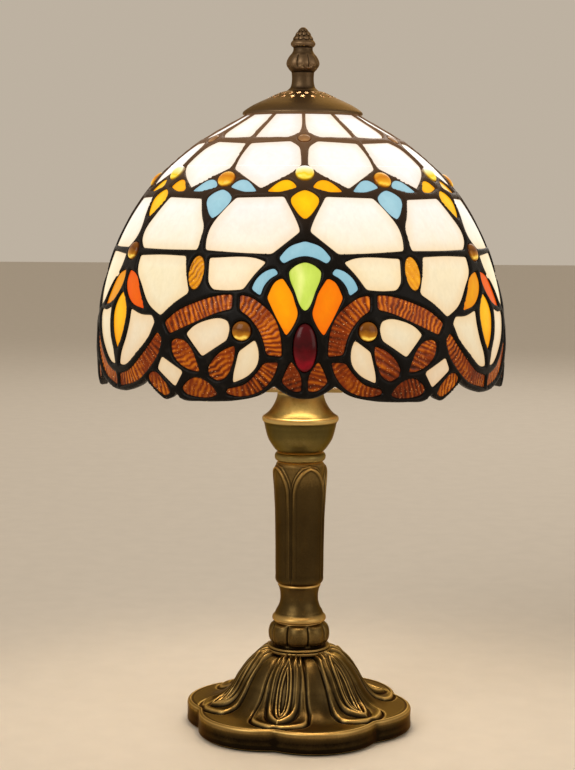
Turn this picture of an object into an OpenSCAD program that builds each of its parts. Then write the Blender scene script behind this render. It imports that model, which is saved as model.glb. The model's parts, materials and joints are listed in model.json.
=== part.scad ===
// Table lamp with a leaded glass dome shade on a cast column, millimetres.
// The origin is the centre of the underside, +Z is up and the front faces -Y.
// A place on the shade is [turn, rise] in degrees: turn runs from the front to the right,
// and rise is the height angle of the dome's ellipse.

/* [Base] */
// Reach of each foot lobe from the axis
lobe_reach = 57.9; // [55:0.1:62]
// Distance of each lobe's centre from the axis
lobe_offset = 24; // [20:1:28]
// Height of the base flange
flange_h = 12; // [10:0.5:14]
// Wall thickness of the base casting
base_wall = 3.5; // [2.5:0.5:5]
// Turn of the first lobe from the front, degrees
lobe_turn = 17; // [0:1:30]

/* [Column] */
// Height where the stem stack stands on the base
stack_z = 38; // [36:0.5:40]
// Radius of the gadrooned knop
knop_r = 15.7; // [14:0.1:17]
// Number of lobes round the knop
knop_lobes = 8; // [6:1:12]
// Radius of the column shaft at its top
shaft_r = 13.6; // [12:0.1:15]
// Turn of the first shaft petal from the front, degrees
petal_turn = 24; // [0:1:45]
// Radius of the vase lip
lip_r = 19.2; // [17:0.1:21]
// Outer radius of the threaded pipe through the stem
pipe_r = 4.95; // [4.9:0.05:5]

/* [Shade] */
// Outer radius of the dome
shade_r = 102; // [98:1:108]
// Height of the dome above its widest level
shade_h = 116; // [110:1:120]
// Height of the dome's widest level above the table
shade_mid_z = 195; // [193:1:198]
// Turn of the pattern from the front, degrees
pattern_turn = 1; // [0:1:5]
// Radius of the flower jewels
jewel_r = 4.2; // [3.5:0.1:4.3]
// Radius of the vented cap's rim
cap_r = 29.5; // [29:0.1:31]

/* [Holder and bulb] */
// Outer radius of the lamp holder shell
holder_r = 17; // [16.5:0.1:19]
// Radius of the bulb's screw cap
screw_r = 12.95; // [12.9:0.01:12.97]
// Radius of the bulb's glass globe
globe_r = 22.5; // [20:0.5:23]
// Widest half-width of the harp
harp_half = 36; // [32:1:40]

/* [Hidden] */
$fn = 64;
fit = 0.05;                 // radial play of every running fit
pad_h = 1.2;
lobes = 6;
lobe_r = lobe_reach - lobe_offset;
stud_r = 2.95;
pipe_bore_r = 3.6;
seat_z = 318;               // where the vented cap rests on the harp
vase_top_z = 171;
holder_z = 176;
bulb_z = 196;               // foot of the bulb's screw cap
ring_low = -12;             // lowest rise of the dome blank
ring_high = 74.5;           // highest rise of the dome blank
came_in = 0.962;            // inner and outer faces of came and glass, as parts of shade_r
came_out = 1;
glass_in = 0.97;
glass_out = 0.994;
bronze = [0.33, 0.26, 0.13];
gold_bronze = [0.55, 0.43, 0.2];
lead = [0.08, 0.07, 0.06];
brass = [0.8, 0.65, 0.3];
steel = [0.7, 0.7, 0.72];
cream = [0.98, 0.94, 0.84];
ripple_brown = [0.6, 0.27, 0.06];
amber = [0.88, 0.55, 0.08];

// Outlines, [turn, rise] in degrees. A list called near or far is one long edge of a strip.
crown_pane = [[2, 73], [2, 63.5], [9, 61.5], [28.3, 61.5], [28.3, 73]];
shoulder_pane = [[28, 58.5], [7, 59.7], [2, 55.5], [1.5, 50.5], [15.5, 42.5], [20.5, 44.6],
  [28.5, 48.5], [29, 57]];
side_petal = [[2.8, 42.7], [6, 45], [10, 44], [13, 41.3], [8, 41.2], [5.5, 42]];
drop_petal = [[0, 41.8], [4.8, 39.6], [3.5, 36.8], [1.8, 34.7], [0, 33.4], [-1.8, 34.7],
  [-3.5, 36.8], [-4.8, 39.6]];
upper_pane_a = [[7, 39.7], [23.5, 39.3], [29.8, 31.3], [29.6, 25.4], [9.4, 24.8], [1.6, 30.2],
  [2.4, 32.3]];
upper_pane_b = [[37, 38.9], [53.5, 39.4], [58.5, 30], [58, 27.6], [55.5, 25.4], [32.4, 25.4],
  [32.2, 31]];
lower_pane_a = [[27.5, 23.5], [14.3, 23.6], [11, 22.6], [16.6, 16.4], [25.2, 16.2], [27, 18.5]];
lower_pane_b = [[55.5, 23.5], [35.8, 23.6], [34.6, 19], [32.8, 15.2], [41.4, 9.8], [46.4, 12],
  [51, 16.5], [55, 20.5]];
arch_near = [[-7.3, 23.8], [-4.3, 26.6], [0, 27.8], [4.3, 26.6], [7.3, 23.8]];
arch_far = [[-6, 22.4], [-3, 23.8], [0, 24.2], [3, 23.8], [6, 22.4]];
wing_near = [[14.3, 16.4], [13.2, 18.5], [10.7, 20.6], [8.3, 21.2]];
wing_far = [[11.8, 14.9], [11, 17], [9.3, 19], [7.2, 20]];
green_drop = [[0, 22.6], [2.3, 22], [4.3, 20.5], [2.8, 17], [0.8, 12.4], [-0.8, 12.4],
  [-2.8, 17], [-4.3, 20.5], [-2.3, 22]];
fan_petal = [[6, 19], [7.8, 18.2], [9.9, 14.6], [7.6, 10.7], [4.8, 6.5], [1.9, 11], [3.2, 15]];
fan_foot = [[3.5, 0.3], [4.8, -1.7], [5.8, -4.2], [3.4, -6.2], [1, -6.2], [1, -3.2]];
top_band_near = [[39.6, 8], [35.3, 11], [30, 13], [25, 14.4], [19.4, 15]];
top_band_far = [[37.6, 5.8], [32.5, 7.8], [28, 9.4], [23.5, 10.9], [19.4, 11.8]];
left_band_near = [[17.2, 14.9], [12, 13], [9, 11], [7.2, 8.5], [6.2, 5], [6, 1.4]];
left_band_far = [[17.2, 11.5], [14.4, 10], [12.6, 8], [11.3, 6.3], [10.4, 3.8], [9.8, 1.9]];
low_band_near = [[6.8, 0], [8, -3], [10.8, -5.8], [14.4, -7], [20.5, -7.6]];
low_band_far = [[10.5, 0], [11.3, -1.2], [13.3, -3.3], [16.5, -5.4], [20.2, -6]];
low_leaf = [[23, -7.5], [24.3, -5.8], [26.8, -4.4], [29.5, -4], [31.8, -5], [33.5, -6.7],
  [32.4, -8], [25, -8.2]];
tail_leaf = [[44.4, -3.8], [42.4, -3.6], [38.5, -6.5], [37.5, -7.6], [39.5, -8.6],
  [41.5, -7.8], [45, -5.5]];
tall_leaf = [[36.8, 3.9], [35.5, 4.6], [33, 4.3], [30, 2.2], [27.9, -2.5], [30.8, -2.4],
  [34.5, -0.9], [36.9, 1.3]];
inner_leaf = [[18.4, 3.5], [21, 2.6], [23.9, 0.5], [25.5, -1.7], [25, -3.6], [22.6, -4.5],
  [20.5, -3.5], [19, -1.2], [18.4, 1.2]];
inner_field = [[32, 5.9], [30, 7.4], [26, 8.9], [22.5, 9.4], [20.2, 9], [19.9, 7], [20.4, 4.8],
  [27.2, 1]];
crescent_field = [[12.8, 4.8], [11.9, 2.8], [12.2, -0.5], [14.6, -2.7], [18.4, -4.6],
  [18.2, -3], [17.6, -1], [17, 2.3]];
small_field = [[40, 0.2], [33.2, -2.8], [35.8, -6.3], [41.6, -2.6]];
lily_side = [[58.6, 19.8], [59, 17], [57.7, 14.8], [54, 12], [48, 10.8], [50, 13.3], [54.6, 18.5]];
lily_centre = [[60, 14.3], [62.5, 12.5], [64, 9.5], [63, 5.5], [60, 1.2], [57, 5.5], [56, 9.5],
  [57.5, 12.5]];
lily_field = [[54, 10.4], [49, 9.3], [44.5, 9.3], [43.3, 8.2], [45.3, 5], [50, 0.8], [56, -2.5],
  [58.7, -2.7], [57.5, 0], [55, 3], [54, 7]];
lily_band_near = [[42, 5.8], [44.5, 3.2], [48.6, -0.3], [54, -3.8], [59.2, -5]];
lily_band_far = [[40.2, 4], [41.4, 1], [44.5, -2.2], [50, -5.7], [59.2, -7.9]];
rim_edge = [[0, -8.1], [5.5, -6.9], [7.8, -5.3], [11.5, -7.1], [18, -8.8], [28, -9.4],
  [34, -9.2], [35.7, -7.8], [39.5, -9.6], [44.8, -6.7], [46.3, -5.4], [52, -7.9], [60, -8.9]];
oval_at = [31.2, 20];
oval_size = [4, 7.8];       // half-width and half-height, mm
ruby_at = [0, 3.4];
ruby_size = [5.2, 10.8];
scroll_jewel_at = [16.3, 6.9];
yellow_jewel_at = [0, 47];
blue_jewel_at = [30, 45];
lily_jewel_at = [60, 24.5];
crown_jewel_at = [0, 60.7];
crown_jewel_r = 1.6;

// ---- places on the dome ----

// A point of the dome, pushed in or out by a scale about its middle.
function on_dome(p, s) = [
  shade_r * s * cos(p[1]) * sin(p[0]),
  -shade_r * s * cos(p[1]) * cos(p[0]),
  shade_mid_z + shade_h * s * sin(p[1])];

function reversed(v) = [for (i = [len(v) - 1:-1:0]) v[i]];
function mean(v) = [for (k = [0:1]) [for (p = v) p[k]] * [for (p = v) 1] / len(v)];
function cross_sum(v, i = 0) = i == len(v) ? 0 :
  v[i][0] * v[(i + 1) % len(v)][1] - v[(i + 1) % len(v)][0] * v[i][1] + cross_sum(v, i + 1);
function anticlockwise(v) = cross_sum(v) > 0 ? v : reversed(v);

// An ellipse of the given half sizes in millimetres, as an outline on the dome.
function oval_outline(at, size, points = 12) = [for (i = [0:points - 1])
  let (a = 360 * i / points, step_up = norm([shade_r * sin(at[1]), shade_h * cos(at[1])]))
  [at[0] + size[0] * cos(a) / (shade_r * cos(at[1])) * 180 / PI,
   at[1] + size[1] * sin(a) / step_up * 180 / PI]];

// A wedge with flat sides that meet at the dome's middle, cut to the outline.
module wedge(outline) {
  o = anticlockwise(outline);
  n = len(o);
  m = mean(o);
  polyhedron(
    points = concat([for (p = o) on_dome(p, 0.93)], [for (p = o) on_dome(p, 1.07)],
      [on_dome(m, 0.93), on_dome(m, 1.07)]),
    faces = concat(
      [for (i = [0:n - 1]) [i, (i + 1) % n, 2 * n]],
      [for (i = [0:n - 1]) [(i + 1) % n + n, i + n, 2 * n + 1]],
      [for (i = [0:n - 1]) [(i + 1) % n, i, i + n, (i + 1) % n + n]]));
}

// The same for a curved strip between two edges that have one point each for every rung.
module strip_wedge(near, far) {
  flip = cross_sum(concat(near, reversed(far))) < 0;
  a = flip ? near : far;
  b = flip ? far : near;
  n = len(a);
  ring = concat(a, reversed(b));
  c = 2 * n;
  function rungs(base, turned) = [for (i = [0:n - 2])
    let (q = [i, i + 1, c - 2 - i, c - 1 - i] + [1, 1, 1, 1] * base)
    for (t = [[q[0], q[1], q[2]], [q[0], q[2], q[3]]]) turned ? reversed(t) : t];
  polyhedron(
    points = concat([for (p = ring) on_dome(p, 0.93)], [for (p = ring) on_dome(p, 1.07)]),
    faces = concat(rungs(0, true), rungs(c, false),
      [for (i = [0:c - 1]) [i, (i + 1) % c, (i + 1) % c + c, i + c]]));
}

// The dome blank between two scales, with flat bands that follow the ellipse.
module dome_blank(s_in, s_out, bands = 12) {
  rises = [for (i = [0:bands]) ring_low + (ring_high - ring_low) * i / bands];
  function edge(s) = [for (u = rises) [shade_r * s * cos(u), shade_mid_z + shade_h * s * sin(u)]];
  rotate_extrude($fn = 96) polygon(concat(edge(s_in), reversed(edge(s_out))));
}

// Copies of a piece of the half sector in every sector, and its mirror image.
module round_shade(sectors, mirrored = true) {
  rotate([0, 0, pattern_turn])
    for (k = [0:sectors - 1], side = mirrored ? [0, 1] : [0])
      rotate([0, 0, 360 / sectors * k]) mirror([side, 0, 0]) children();
}

module glass(sectors, mirrored = true) {
  intersection() {
    dome_blank(glass_in, glass_out);
    round_shade(sectors, mirrored) children();
  }
}

// A place on the dome with +Z turned to the dome's normal.
module at_dome(at) {
  tilt = atan2(shade_h * cos(at[1]), shade_r * sin(at[1]));
  rotate([0, 0, at[0]]) translate(on_dome([0, at[1]], 0.985)) rotate([tilt, 0, 0]) children();
}

// A round jewel with a domed face, and the hole that it needs in the came.
module jewel(at, r) {
  at_dome(at) intersection() {
    translate([0, 0, -1.6]) cylinder(r = r, h = 6);
    translate([0, 0, -2 * r + 3.6]) sphere(r = 2 * r);
  }
}
module jewel_hole(at, r) { at_dome(at) translate([0, 0, -8]) cylinder(r = r, h = 16); }

// ---- openings of the came, by the sector that they repeat in ----

module half_sector_windows_60() {
  wedge(crown_pane);
  wedge(shoulder_pane);
  for (t = [0, 30]) rotate([0, 0, t]) wedge(side_petal);
}
module half_sector_windows_120() {
  for (o = [upper_pane_a, upper_pane_b, lower_pane_a, lower_pane_b, fan_petal, fan_foot, low_leaf,
    tail_leaf, tall_leaf, inner_leaf, inner_field, crescent_field, small_field, lily_side,
    lily_field, oval_outline(oval_at, oval_size)]) wedge(o);
  strip_wedge(wing_near, wing_far);
  strip_wedge(top_band_near, top_band_far);
  strip_wedge(left_band_near, left_band_far);
  strip_wedge(low_band_near, low_band_far);
  strip_wedge(lily_band_near, lily_band_far);
  jewel_hole(scroll_jewel_at, jewel_r);
}
module middle_windows() {
  round_shade(6, false) {
    wedge(drop_petal);
    rotate([0, 0, 30]) wedge(drop_petal);
    jewel_hole(yellow_jewel_at, jewel_r);
    jewel_hole(blue_jewel_at, jewel_r);
    jewel_hole(crown_jewel_at, crown_jewel_r);
  }
  round_shade(3, false) {
    strip_wedge(arch_near, arch_far);
    wedge(green_drop);
    wedge(oval_outline(ruby_at, ruby_size));
    wedge(lily_centre);
    jewel_hole(lily_jewel_at, jewel_r);
  }
}
// What lies below the scalloped rim in half a sector.
module below_rim() {
  edge = [for (p = rim_edge) [p[0] + (p[0] == 0 ? -0.3 : p[0] == 60 ? 0.3 : 0), p[1]]];
  strip_wedge(edge, [for (p = edge) [p[0], -16]]);
}

// ---- base ----

module lobed_plate(inset) {
  for (k = [0:lobes - 1]) rotate(lobe_turn - 90 + 360 / lobes * k)
    translate([lobe_offset, 0]) circle(r = lobe_r - inset);
}

module felt_pad() color([0.16, 0.18, 0.15]) linear_extrude(pad_h) lobed_plate(2);

base_profile = [[16.5, stack_z], [21.3, stack_z - 2], [25, stack_z - 5.1], [27.3, 30.3],
  [29.3, 27.6], [31, 25], [32.5, 22.3], [35, 18], [39, 15], [44, 13], [49, flange_h]];
module base_casting() color(bronze) difference() {
  union() {
    translate([0, 0, pad_h]) linear_extrude(flange_h - pad_h - 2) lobed_plate(0);
    translate([0, 0, flange_h - 2]) linear_extrude(1.4) lobed_plate(1.5);
    rotate_extrude() polygon(concat([[0, flange_h - 2], [0, stack_z]], base_profile,
      [[49, flange_h - 2]]));
  }
  translate([0, 0, pad_h - 1]) linear_extrude(flange_h - base_wall - pad_h + 1)
    lobed_plate(base_wall);
  rotate_extrude() polygon(concat([[0, 5], [0, stack_z - 6]],
    [for (p = base_profile) if (p[0] < 40) [p[0] - base_wall - 1, p[1] - base_wall - 2.5]],
    [[36, 5]]));
  cylinder(r = pipe_r + fit, h = 2 * stack_z);
  translate([0, lobe_reach, 6.2]) rotate([90, 0, 0]) cylinder(r = 4.6, h = 20);
}

bush_inner_y = 44;
bush_outer_y = 54;
module cable_bush() color([0.07, 0.07, 0.07]) difference() {
  translate([0, bush_outer_y + 1.8, 6.2]) rotate([90, 0, 0]) union() {
    translate([0, 0, 1]) cylinder(r = 4.55, h = bush_outer_y - bush_inner_y);
  }
  translate([0, 70, 6.2]) rotate([90, 0, 0]) cylinder(r = 3.2, h = 40);
}

nut_z = stack_z - 6 - 1.5 - 5;
module base_washer() color(steel) translate([0, 0, stack_z - 7.5]) difference() {
  cylinder(r = 11, h = 1.5);
  translate([0, 0, -1]) cylinder(r = pipe_r + fit, h = 4);
}
module base_nut() color(steel) translate([0, 0, nut_z]) difference() {
  cylinder(r = 8.5, h = 5, $fn = 6);
  translate([0, 0, -1]) cylinder(r = pipe_r + fit, h = 8);
}
module threaded_pipe() color(brass) translate([0, 0, nut_z - 3]) difference() {
  cylinder(r = pipe_r, h = holder_z + 6 - nut_z + 3);
  translate([0, 0, -1]) cylinder(r = pipe_bore_r, h = 200);
}

// ---- column ----

// A turned ring of the stem, bored for the pipe.
module turned(profile) {
  difference() {
    rotate_extrude() polygon(concat([[0, profile[0][1]]], profile,
      [[0, profile[len(profile) - 1][1]]]));
    cylinder(r = pipe_r + fit, h = 2 * vase_top_z);
  }
}

module gadroon_knop() color(bronze) difference() {
  union() {
    turned([[14, stack_z], [16.2, stack_z + 0.8], [16.2, stack_z + 2.4], [13.2, stack_z + 3.6],
      [11.6, 46], [11.6, 50], [12.4, 54]]);
    for (k = [0:knop_lobes - 1]) rotate([0, 0, 360 / knop_lobes * k - 93])
      translate([knop_r - 6, 0, 47.6]) sphere(r = 6);
  }
  cylinder(r = pipe_r + fit, h = 100);
}
module neck_spool() color(bronze) turned([[12.6, 54], [13.3, 55], [13.3, 57], [12.4, 58],
  [10.5, 61], [9.5, 64], [9.5, 69], [10.4, 71.5], [11, 73]]);

arch_z = [134, 119];        // top of each petal, and where its sides part
module column_shaft() color(bronze) {
  difference() {
    rotate_extrude() polygon([[0, 73], [10.6, 73], [11.6, 75.5], [11.8, 92], [12.2, 117],
      [12.6, 136], [0, 136]]);
    cylinder(r = pipe_r + fit, h = 200);
  }
  intersection() {
    difference() {
      rotate_extrude() polygon([[9, 74], [11.2, 74.4], [12.2, 77], [12.5, 92], [13, 117],
        [shaft_r, 133], [shaft_r, 135], [9, 135]]);
      rotate_extrude() polygon([[0, 70], [11.5, 70], [11.6, 75.5], [11.8, 92], [12.2, 117],
        [12.6, 136], [12.6, 140], [0, 140]]);
    }
    for (k = [0:3]) rotate([0, 0, petal_turn + 90 * k]) {
      rotate([90, 0, 0]) linear_extrude(20) union() {
        translate([-8.6, 70]) square([17.2, arch_z[1] - 70]);
        intersection() {
          translate([-8.6, arch_z[1] - 1]) square([17.2, 30]);
          translate([6.4, arch_z[1]]) circle(r = 15);
          translate([-6.4, arch_z[1]]) circle(r = 15);
        }
      }
    }
  }
}
module neck_bead() color(gold_bronze) turned([[11, 136], [12.5, 136.8], [12.9, 138.3],
  [12.5, 139.8], [11.4, 140.8]]);
module vase_cup() color(gold_bronze) turned([[11.5, 140.8], [14.5, 144.3], [16.3, 147.4],
  [17.3, 150.5], [18, 153.5], [lip_r, 157], [lip_r, 158.6], [16.4, 160.4], [14.7, 162.6],
  [12.7, 165.7], [11.6, 169], [11.6, vase_top_z]]);

// ---- lamp holder and harp ----

saddle_half = 21;
module harp_saddle() color(brass) difference() {
  union() {
    translate([0, 0, vase_top_z]) cylinder(r = 10, h = 1.5);
    translate([-saddle_half, -4, vase_top_z]) cube([2 * saddle_half, 8, 1.5]);
    for (x = [-saddle_half, saddle_half - 1.5]) translate([x, -2, vase_top_z]) cube([1.5, 4, 9]);
  }
  cylinder(r = pipe_r + fit, h = 200);
}
module saddle_nut() color(steel) translate([0, 0, vase_top_z + 1.5]) difference() {
  cylinder(r = 8, h = 3, $fn = 6);
  translate([0, 0, -1]) cylinder(r = pipe_r + fit, h = 6);
}
module holder_cap() color(brass) difference() {
  rotate_extrude() polygon([[0, holder_z], [9, holder_z], [14, holder_z + 3],
    [holder_r, holder_z + 9], [holder_r, holder_z + 12], [0, holder_z + 12]]);
  rotate_extrude() polygon([[0, holder_z + 2], [8, holder_z + 2], [13, holder_z + 5],
    [holder_r - 1.2, holder_z + 10], [holder_r - 1.2, holder_z + 13], [0, holder_z + 13]]);
  cylinder(r = pipe_r + fit, h = 300);
}
module holder_shell() color(brass) translate([0, 0, holder_z + 12]) difference() {
  cylinder(r = holder_r, h = 30);
  translate([0, 0, -1]) cylinder(r = holder_r - 1, h = 32);
}
module holder_insulator() color([0.93, 0.92, 0.88]) translate([0, 0, holder_z + 12])
  difference() {
    cylinder(r = holder_r - 1.2, h = 30);
    translate([0, 0, 5]) cylinder(r = screw_r + fit + 0.9, h = 30);
    translate([0, 0, -1]) cylinder(r = 2.4, h = 10);
  }
module screw_shell() color(brass) translate([0, 0, holder_z + 17]) difference() {
  cylinder(r = screw_r + fit + 0.8, h = 24);
  translate([0, 0, 0.8]) cylinder(r = screw_r + fit, h = 30);
  translate([0, 0, -1]) cylinder(r = 5, h = 4);
}
module centre_contact() color(brass) translate([0, 0, holder_z + 12.5]) {
  cylinder(r = 2.3, h = 4.5);
  translate([0, 0, 4.5]) cylinder(r = 4, h = 1);
}
// Half-width of the harp's wire line at a height from 0 at its feet to 1 at its top.
function harp_x(u) = u < 0.45 ? saddle_half + (harp_half - saddle_half) * sin(200 * u)
  : 3 + (harp_half - 3) * pow(cos((u - 0.45) / 0.55 * 90), 0.75);
harp_foot_z = vase_top_z + 9;
harp_top_z = seat_z - 3.5;
function harp_side(grow) = [for (i = [0:20]) let (u = i / 20)
  [harp_x(u) + grow, harp_foot_z + (harp_top_z + grow - harp_foot_z) * u]];
module harp() color(brass) translate([0, 1.5, 0]) rotate([90, 0, 0]) linear_extrude(3)
  for (side = [0, 1]) mirror([side, 0])
    polygon(concat(harp_side(1.5), [[-1, harp_top_z + 1.5], [-1, harp_top_z - 1.5]],
      reversed(harp_side(-1.5))));
module harp_ferrules() color(brass) for (side = [0, 1]) mirror([side, 0, 0])
  translate([saddle_half, 0, vase_top_z + 5]) difference() {
    cylinder(r = 3.9, h = 5.5);
    translate([-1.6, -2.1, -1]) cube([3.9, 4.2, 8]);
  }
module harp_stud() color(brass) translate([0, 0, harp_top_z + 1.5])
  cylinder(r = stud_r, h = 20);
module seat_washer() color(brass) translate([0, 0, seat_z - 2]) difference() {
  cylinder(r = 8, h = 2);
  translate([0, 0, -1]) cylinder(r = stud_r + 0.1, h = 5);
}

// ---- shade ----

cap_curve = [[9.2, seat_z + 1.2], [13, seat_z + 0.5], [17, seat_z - 1], [24.7, seat_z - 4.6], [cap_r, seat_z - 7.8]];
vents = 16;
module vented_cap() color(bronze) difference() {
  rotate_extrude() polygon(concat([[0, seat_z + 1.2]], cap_curve,
    [[cap_r + 0.3, seat_z - 8.6], [cap_r, seat_z - 9.4], [cap_r - 1, seat_z - 9.2],
     [cap_r - 1, seat_z - 8.5], [24.2, seat_z - 5.6], [16.6, seat_z - 2], [9, seat_z],
     [0, seat_z]]));
  cylinder(r = stud_r + 0.35, h = 400);
  for (k = [0:vents - 1], row = [[13, 1.1], [19, 1.3]])
    rotate([0, 0, 360 / vents * (k + (row[0] > 15 ? 0.5 : 0))])
      translate([row[0], 0, seat_z - 20]) cylinder(r = row[1], h = 40);
}
module aperture_ring() color(lead) rotate_extrude() polygon([[24, seat_z - 15],
  [25, seat_z - 15], [25, seat_z - 12.5], [27.6, seat_z - 10.4], [27.6, seat_z - 8.4],
  [24.6, seat_z - 6.6], [24, seat_z - 6.4]]);

module lead_network() color(lead) difference() {
  dome_blank(came_in, came_out);
  round_shade(6) half_sector_windows_60();
  round_shade(3) half_sector_windows_120();
  middle_windows();
  round_shade(3) below_rim();
}
module crown_glass() color(cream) glass(6) wedge(crown_pane);
module shoulder_glass() color(cream) glass(6) wedge(shoulder_pane);
module crown_jewels() color(amber) round_shade(6, false) jewel(crown_jewel_at, crown_jewel_r);
module flower_jewels() color(amber) round_shade(6, false) {
  jewel(yellow_jewel_at, jewel_r);
  jewel(blue_jewel_at, jewel_r);
}
module amber_petals() color([1, 0.75, 0.05]) {
  glass(6) wedge(side_petal);
  glass(6, false) wedge(drop_petal);
}
module blue_petals() color([0.45, 0.68, 0.78]) {
  glass(6) rotate([0, 0, 30]) wedge(side_petal);
  glass(6, false) rotate([0, 0, 30]) wedge(drop_petal);
}
module upper_field_glass() color(cream) glass(3) { wedge(upper_pane_a); wedge(upper_pane_b); }
module lower_field_glass() color(cream) glass(3) { wedge(lower_pane_a); wedge(lower_pane_b); }
module ripple_ovals() color(ripple_brown) glass(3) wedge(oval_outline(oval_at, oval_size));
module fan_blue_glass() color([0.5, 0.72, 0.8]) {
  glass(3) strip_wedge(wing_near, wing_far);
  glass(3, false) strip_wedge(arch_near, arch_far);
}
module fan_green_drops() color([0.8, 0.9, 0.35]) glass(3, false) wedge(green_drop);
module fan_orange_petals() color([1, 0.58, 0.05]) glass(3) wedge(fan_petal);
module ruby_cabochons() color([0.45, 0.02, 0.05]) glass(3, false)
  wedge(oval_outline(ruby_at, ruby_size));
module fan_feet() color(ripple_brown) glass(3) wedge(fan_foot);
module scroll_bands() color(ripple_brown) glass(3) {
  strip_wedge(top_band_near, top_band_far);
  strip_wedge(left_band_near, left_band_far);
  strip_wedge(low_band_near, low_band_far);
}
module scroll_leaves() color(ripple_brown) glass(3)
  { wedge(low_leaf); wedge(tail_leaf); wedge(tall_leaf); wedge(inner_leaf); }
module scroll_field_glass() color(cream) glass(3)
  { wedge(inner_field); wedge(crescent_field); wedge(small_field); }
module scroll_jewels() color(amber) round_shade(3) jewel(scroll_jewel_at, jewel_r);
module lily_jewels() color(amber) round_shade(3, false) jewel(lily_jewel_at, jewel_r);
module lily_petals() color([1, 0.5, 0.05]) glass(3) wedge(lily_side);
module lily_centres() color([1, 0.72, 0.1]) glass(3, false) wedge(lily_centre);
module lily_field_glass() color(cream) glass(3) wedge(lily_field);
module lily_bands() color(ripple_brown) glass(3) strip_wedge(lily_band_near, lily_band_far);

// ---- finial and bulb ----

finial_z = seat_z + 1.2;
module finial() color(bronze) difference() {
  rotate_extrude() polygon([[0, finial_z], [8.5, finial_z], [6.5, 322], [5.5, 324], [5.5, 330],
    [7.25, 331.6], [8, 333.6], [7.5, 335.5], [6.5, 337.5], [5.2, 339.4], [4.8, 341.3],
    [6.1, 343.6], [5.2, 345], [4.3, 347], [3.2, 349], [1.8, 351], [0, 351.5]]);
  translate([0, 0, finial_z - 1]) cylinder(r = 4, h = 18);
}
module finial_insert() color(brass) translate([0, 0, finial_z + 0.2]) difference() {
  cylinder(r = 3.98, h = 16);
  translate([0, 0, -1]) cylinder(r = stud_r + fit, h = 18);
}
globe_z = bulb_z + 56;
neck_z = bulb_z + 26;
module bulb_glass() color([0.95, 0.93, 0.86, 0.6]) rotate_extrude() {
  polygon(concat([[0, neck_z], [screw_r - 1, neck_z]],
    [for (a = [-50:10:80]) [globe_r * cos(a), globe_z + globe_r * sin(a)]],
    [[0, globe_z + globe_r]]));
}
module bulb_screw_cap() color([0.8, 0.8, 0.78]) translate([0, 0, bulb_z + 4]) {
  cylinder(r = screw_r, h = 22);
  translate([0, 0, -3]) cylinder(r1 = 6, r2 = 10, h = 3);
}
module bulb_contact() color(brass) translate([0, 0, bulb_z - 0.9]) cylinder(r = 4, h = 1.9);

felt_pad();
base_casting();
cable_bush();
base_washer();
base_nut();
threaded_pipe();
gadroon_knop();
neck_spool();
column_shaft();
neck_bead();
vase_cup();
harp_saddle();
saddle_nut();
holder_cap();
holder_shell();
holder_insulator();
screw_shell();
centre_contact();
harp_ferrules();
harp();
harp_stud();
seat_washer();
vented_cap();
aperture_ring();
lead_network();
crown_glass();
shoulder_glass();
crown_jewels();
flower_jewels();
amber_petals();
blue_petals();
upper_field_glass();
lower_field_glass();
ripple_ovals();
fan_blue_glass();
fan_green_drops();
fan_orange_petals();
ruby_cabochons();
fan_feet();
scroll_bands();
scroll_leaves();
scroll_field_glass();
scroll_jewels();
lily_jewels();
lily_petals();
lily_centres();
lily_field_glass();
lily_bands();
finial();
finial_insert();
bulb_glass();
bulb_screw_cap();
bulb_contact();
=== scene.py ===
"""Looks of a table lamp with a leaded glass dome shade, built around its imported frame."""
from __future__ import annotations

import json
import logging
import math
from dataclasses import dataclass, field
from enum import Enum
from typing import Callable, Iterable, Sequence

import bmesh
import bpy
import numpy as np
from mathutils import Matrix, Vector, geometry, kdtree

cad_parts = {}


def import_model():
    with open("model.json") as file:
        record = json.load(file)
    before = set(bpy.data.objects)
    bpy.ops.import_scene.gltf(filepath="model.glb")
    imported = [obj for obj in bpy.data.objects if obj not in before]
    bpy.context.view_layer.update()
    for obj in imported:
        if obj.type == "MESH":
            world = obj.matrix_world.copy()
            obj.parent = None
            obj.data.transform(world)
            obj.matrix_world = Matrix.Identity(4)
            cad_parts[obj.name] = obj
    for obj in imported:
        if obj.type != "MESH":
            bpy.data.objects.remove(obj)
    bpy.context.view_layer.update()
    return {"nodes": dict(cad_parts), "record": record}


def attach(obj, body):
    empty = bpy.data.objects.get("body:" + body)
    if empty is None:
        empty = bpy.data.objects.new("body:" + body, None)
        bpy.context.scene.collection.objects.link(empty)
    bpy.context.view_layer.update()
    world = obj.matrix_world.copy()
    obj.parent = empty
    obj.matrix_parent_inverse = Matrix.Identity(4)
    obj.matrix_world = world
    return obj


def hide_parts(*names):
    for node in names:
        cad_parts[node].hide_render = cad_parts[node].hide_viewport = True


LOG = logging.getLogger("lamp")
MM = 0.001
TURN = 2 * math.pi
Point = tuple[float, float]
Mesh3 = tuple[np.ndarray, list[tuple[int, ...]]]


class Body(Enum):
    """The frame's bodies that pieces ride on."""

    STAND = "stand"
    SHADE = "shade"
    FINIAL = "finial_turn"


class Edge(Enum):
    """How a pane's outline was cut."""

    POINTED = "pointed"
    STRIP = "strip"
    OVAL = "oval"


# ---------------------------------------------------------------------------
# Materials
# ---------------------------------------------------------------------------


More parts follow.
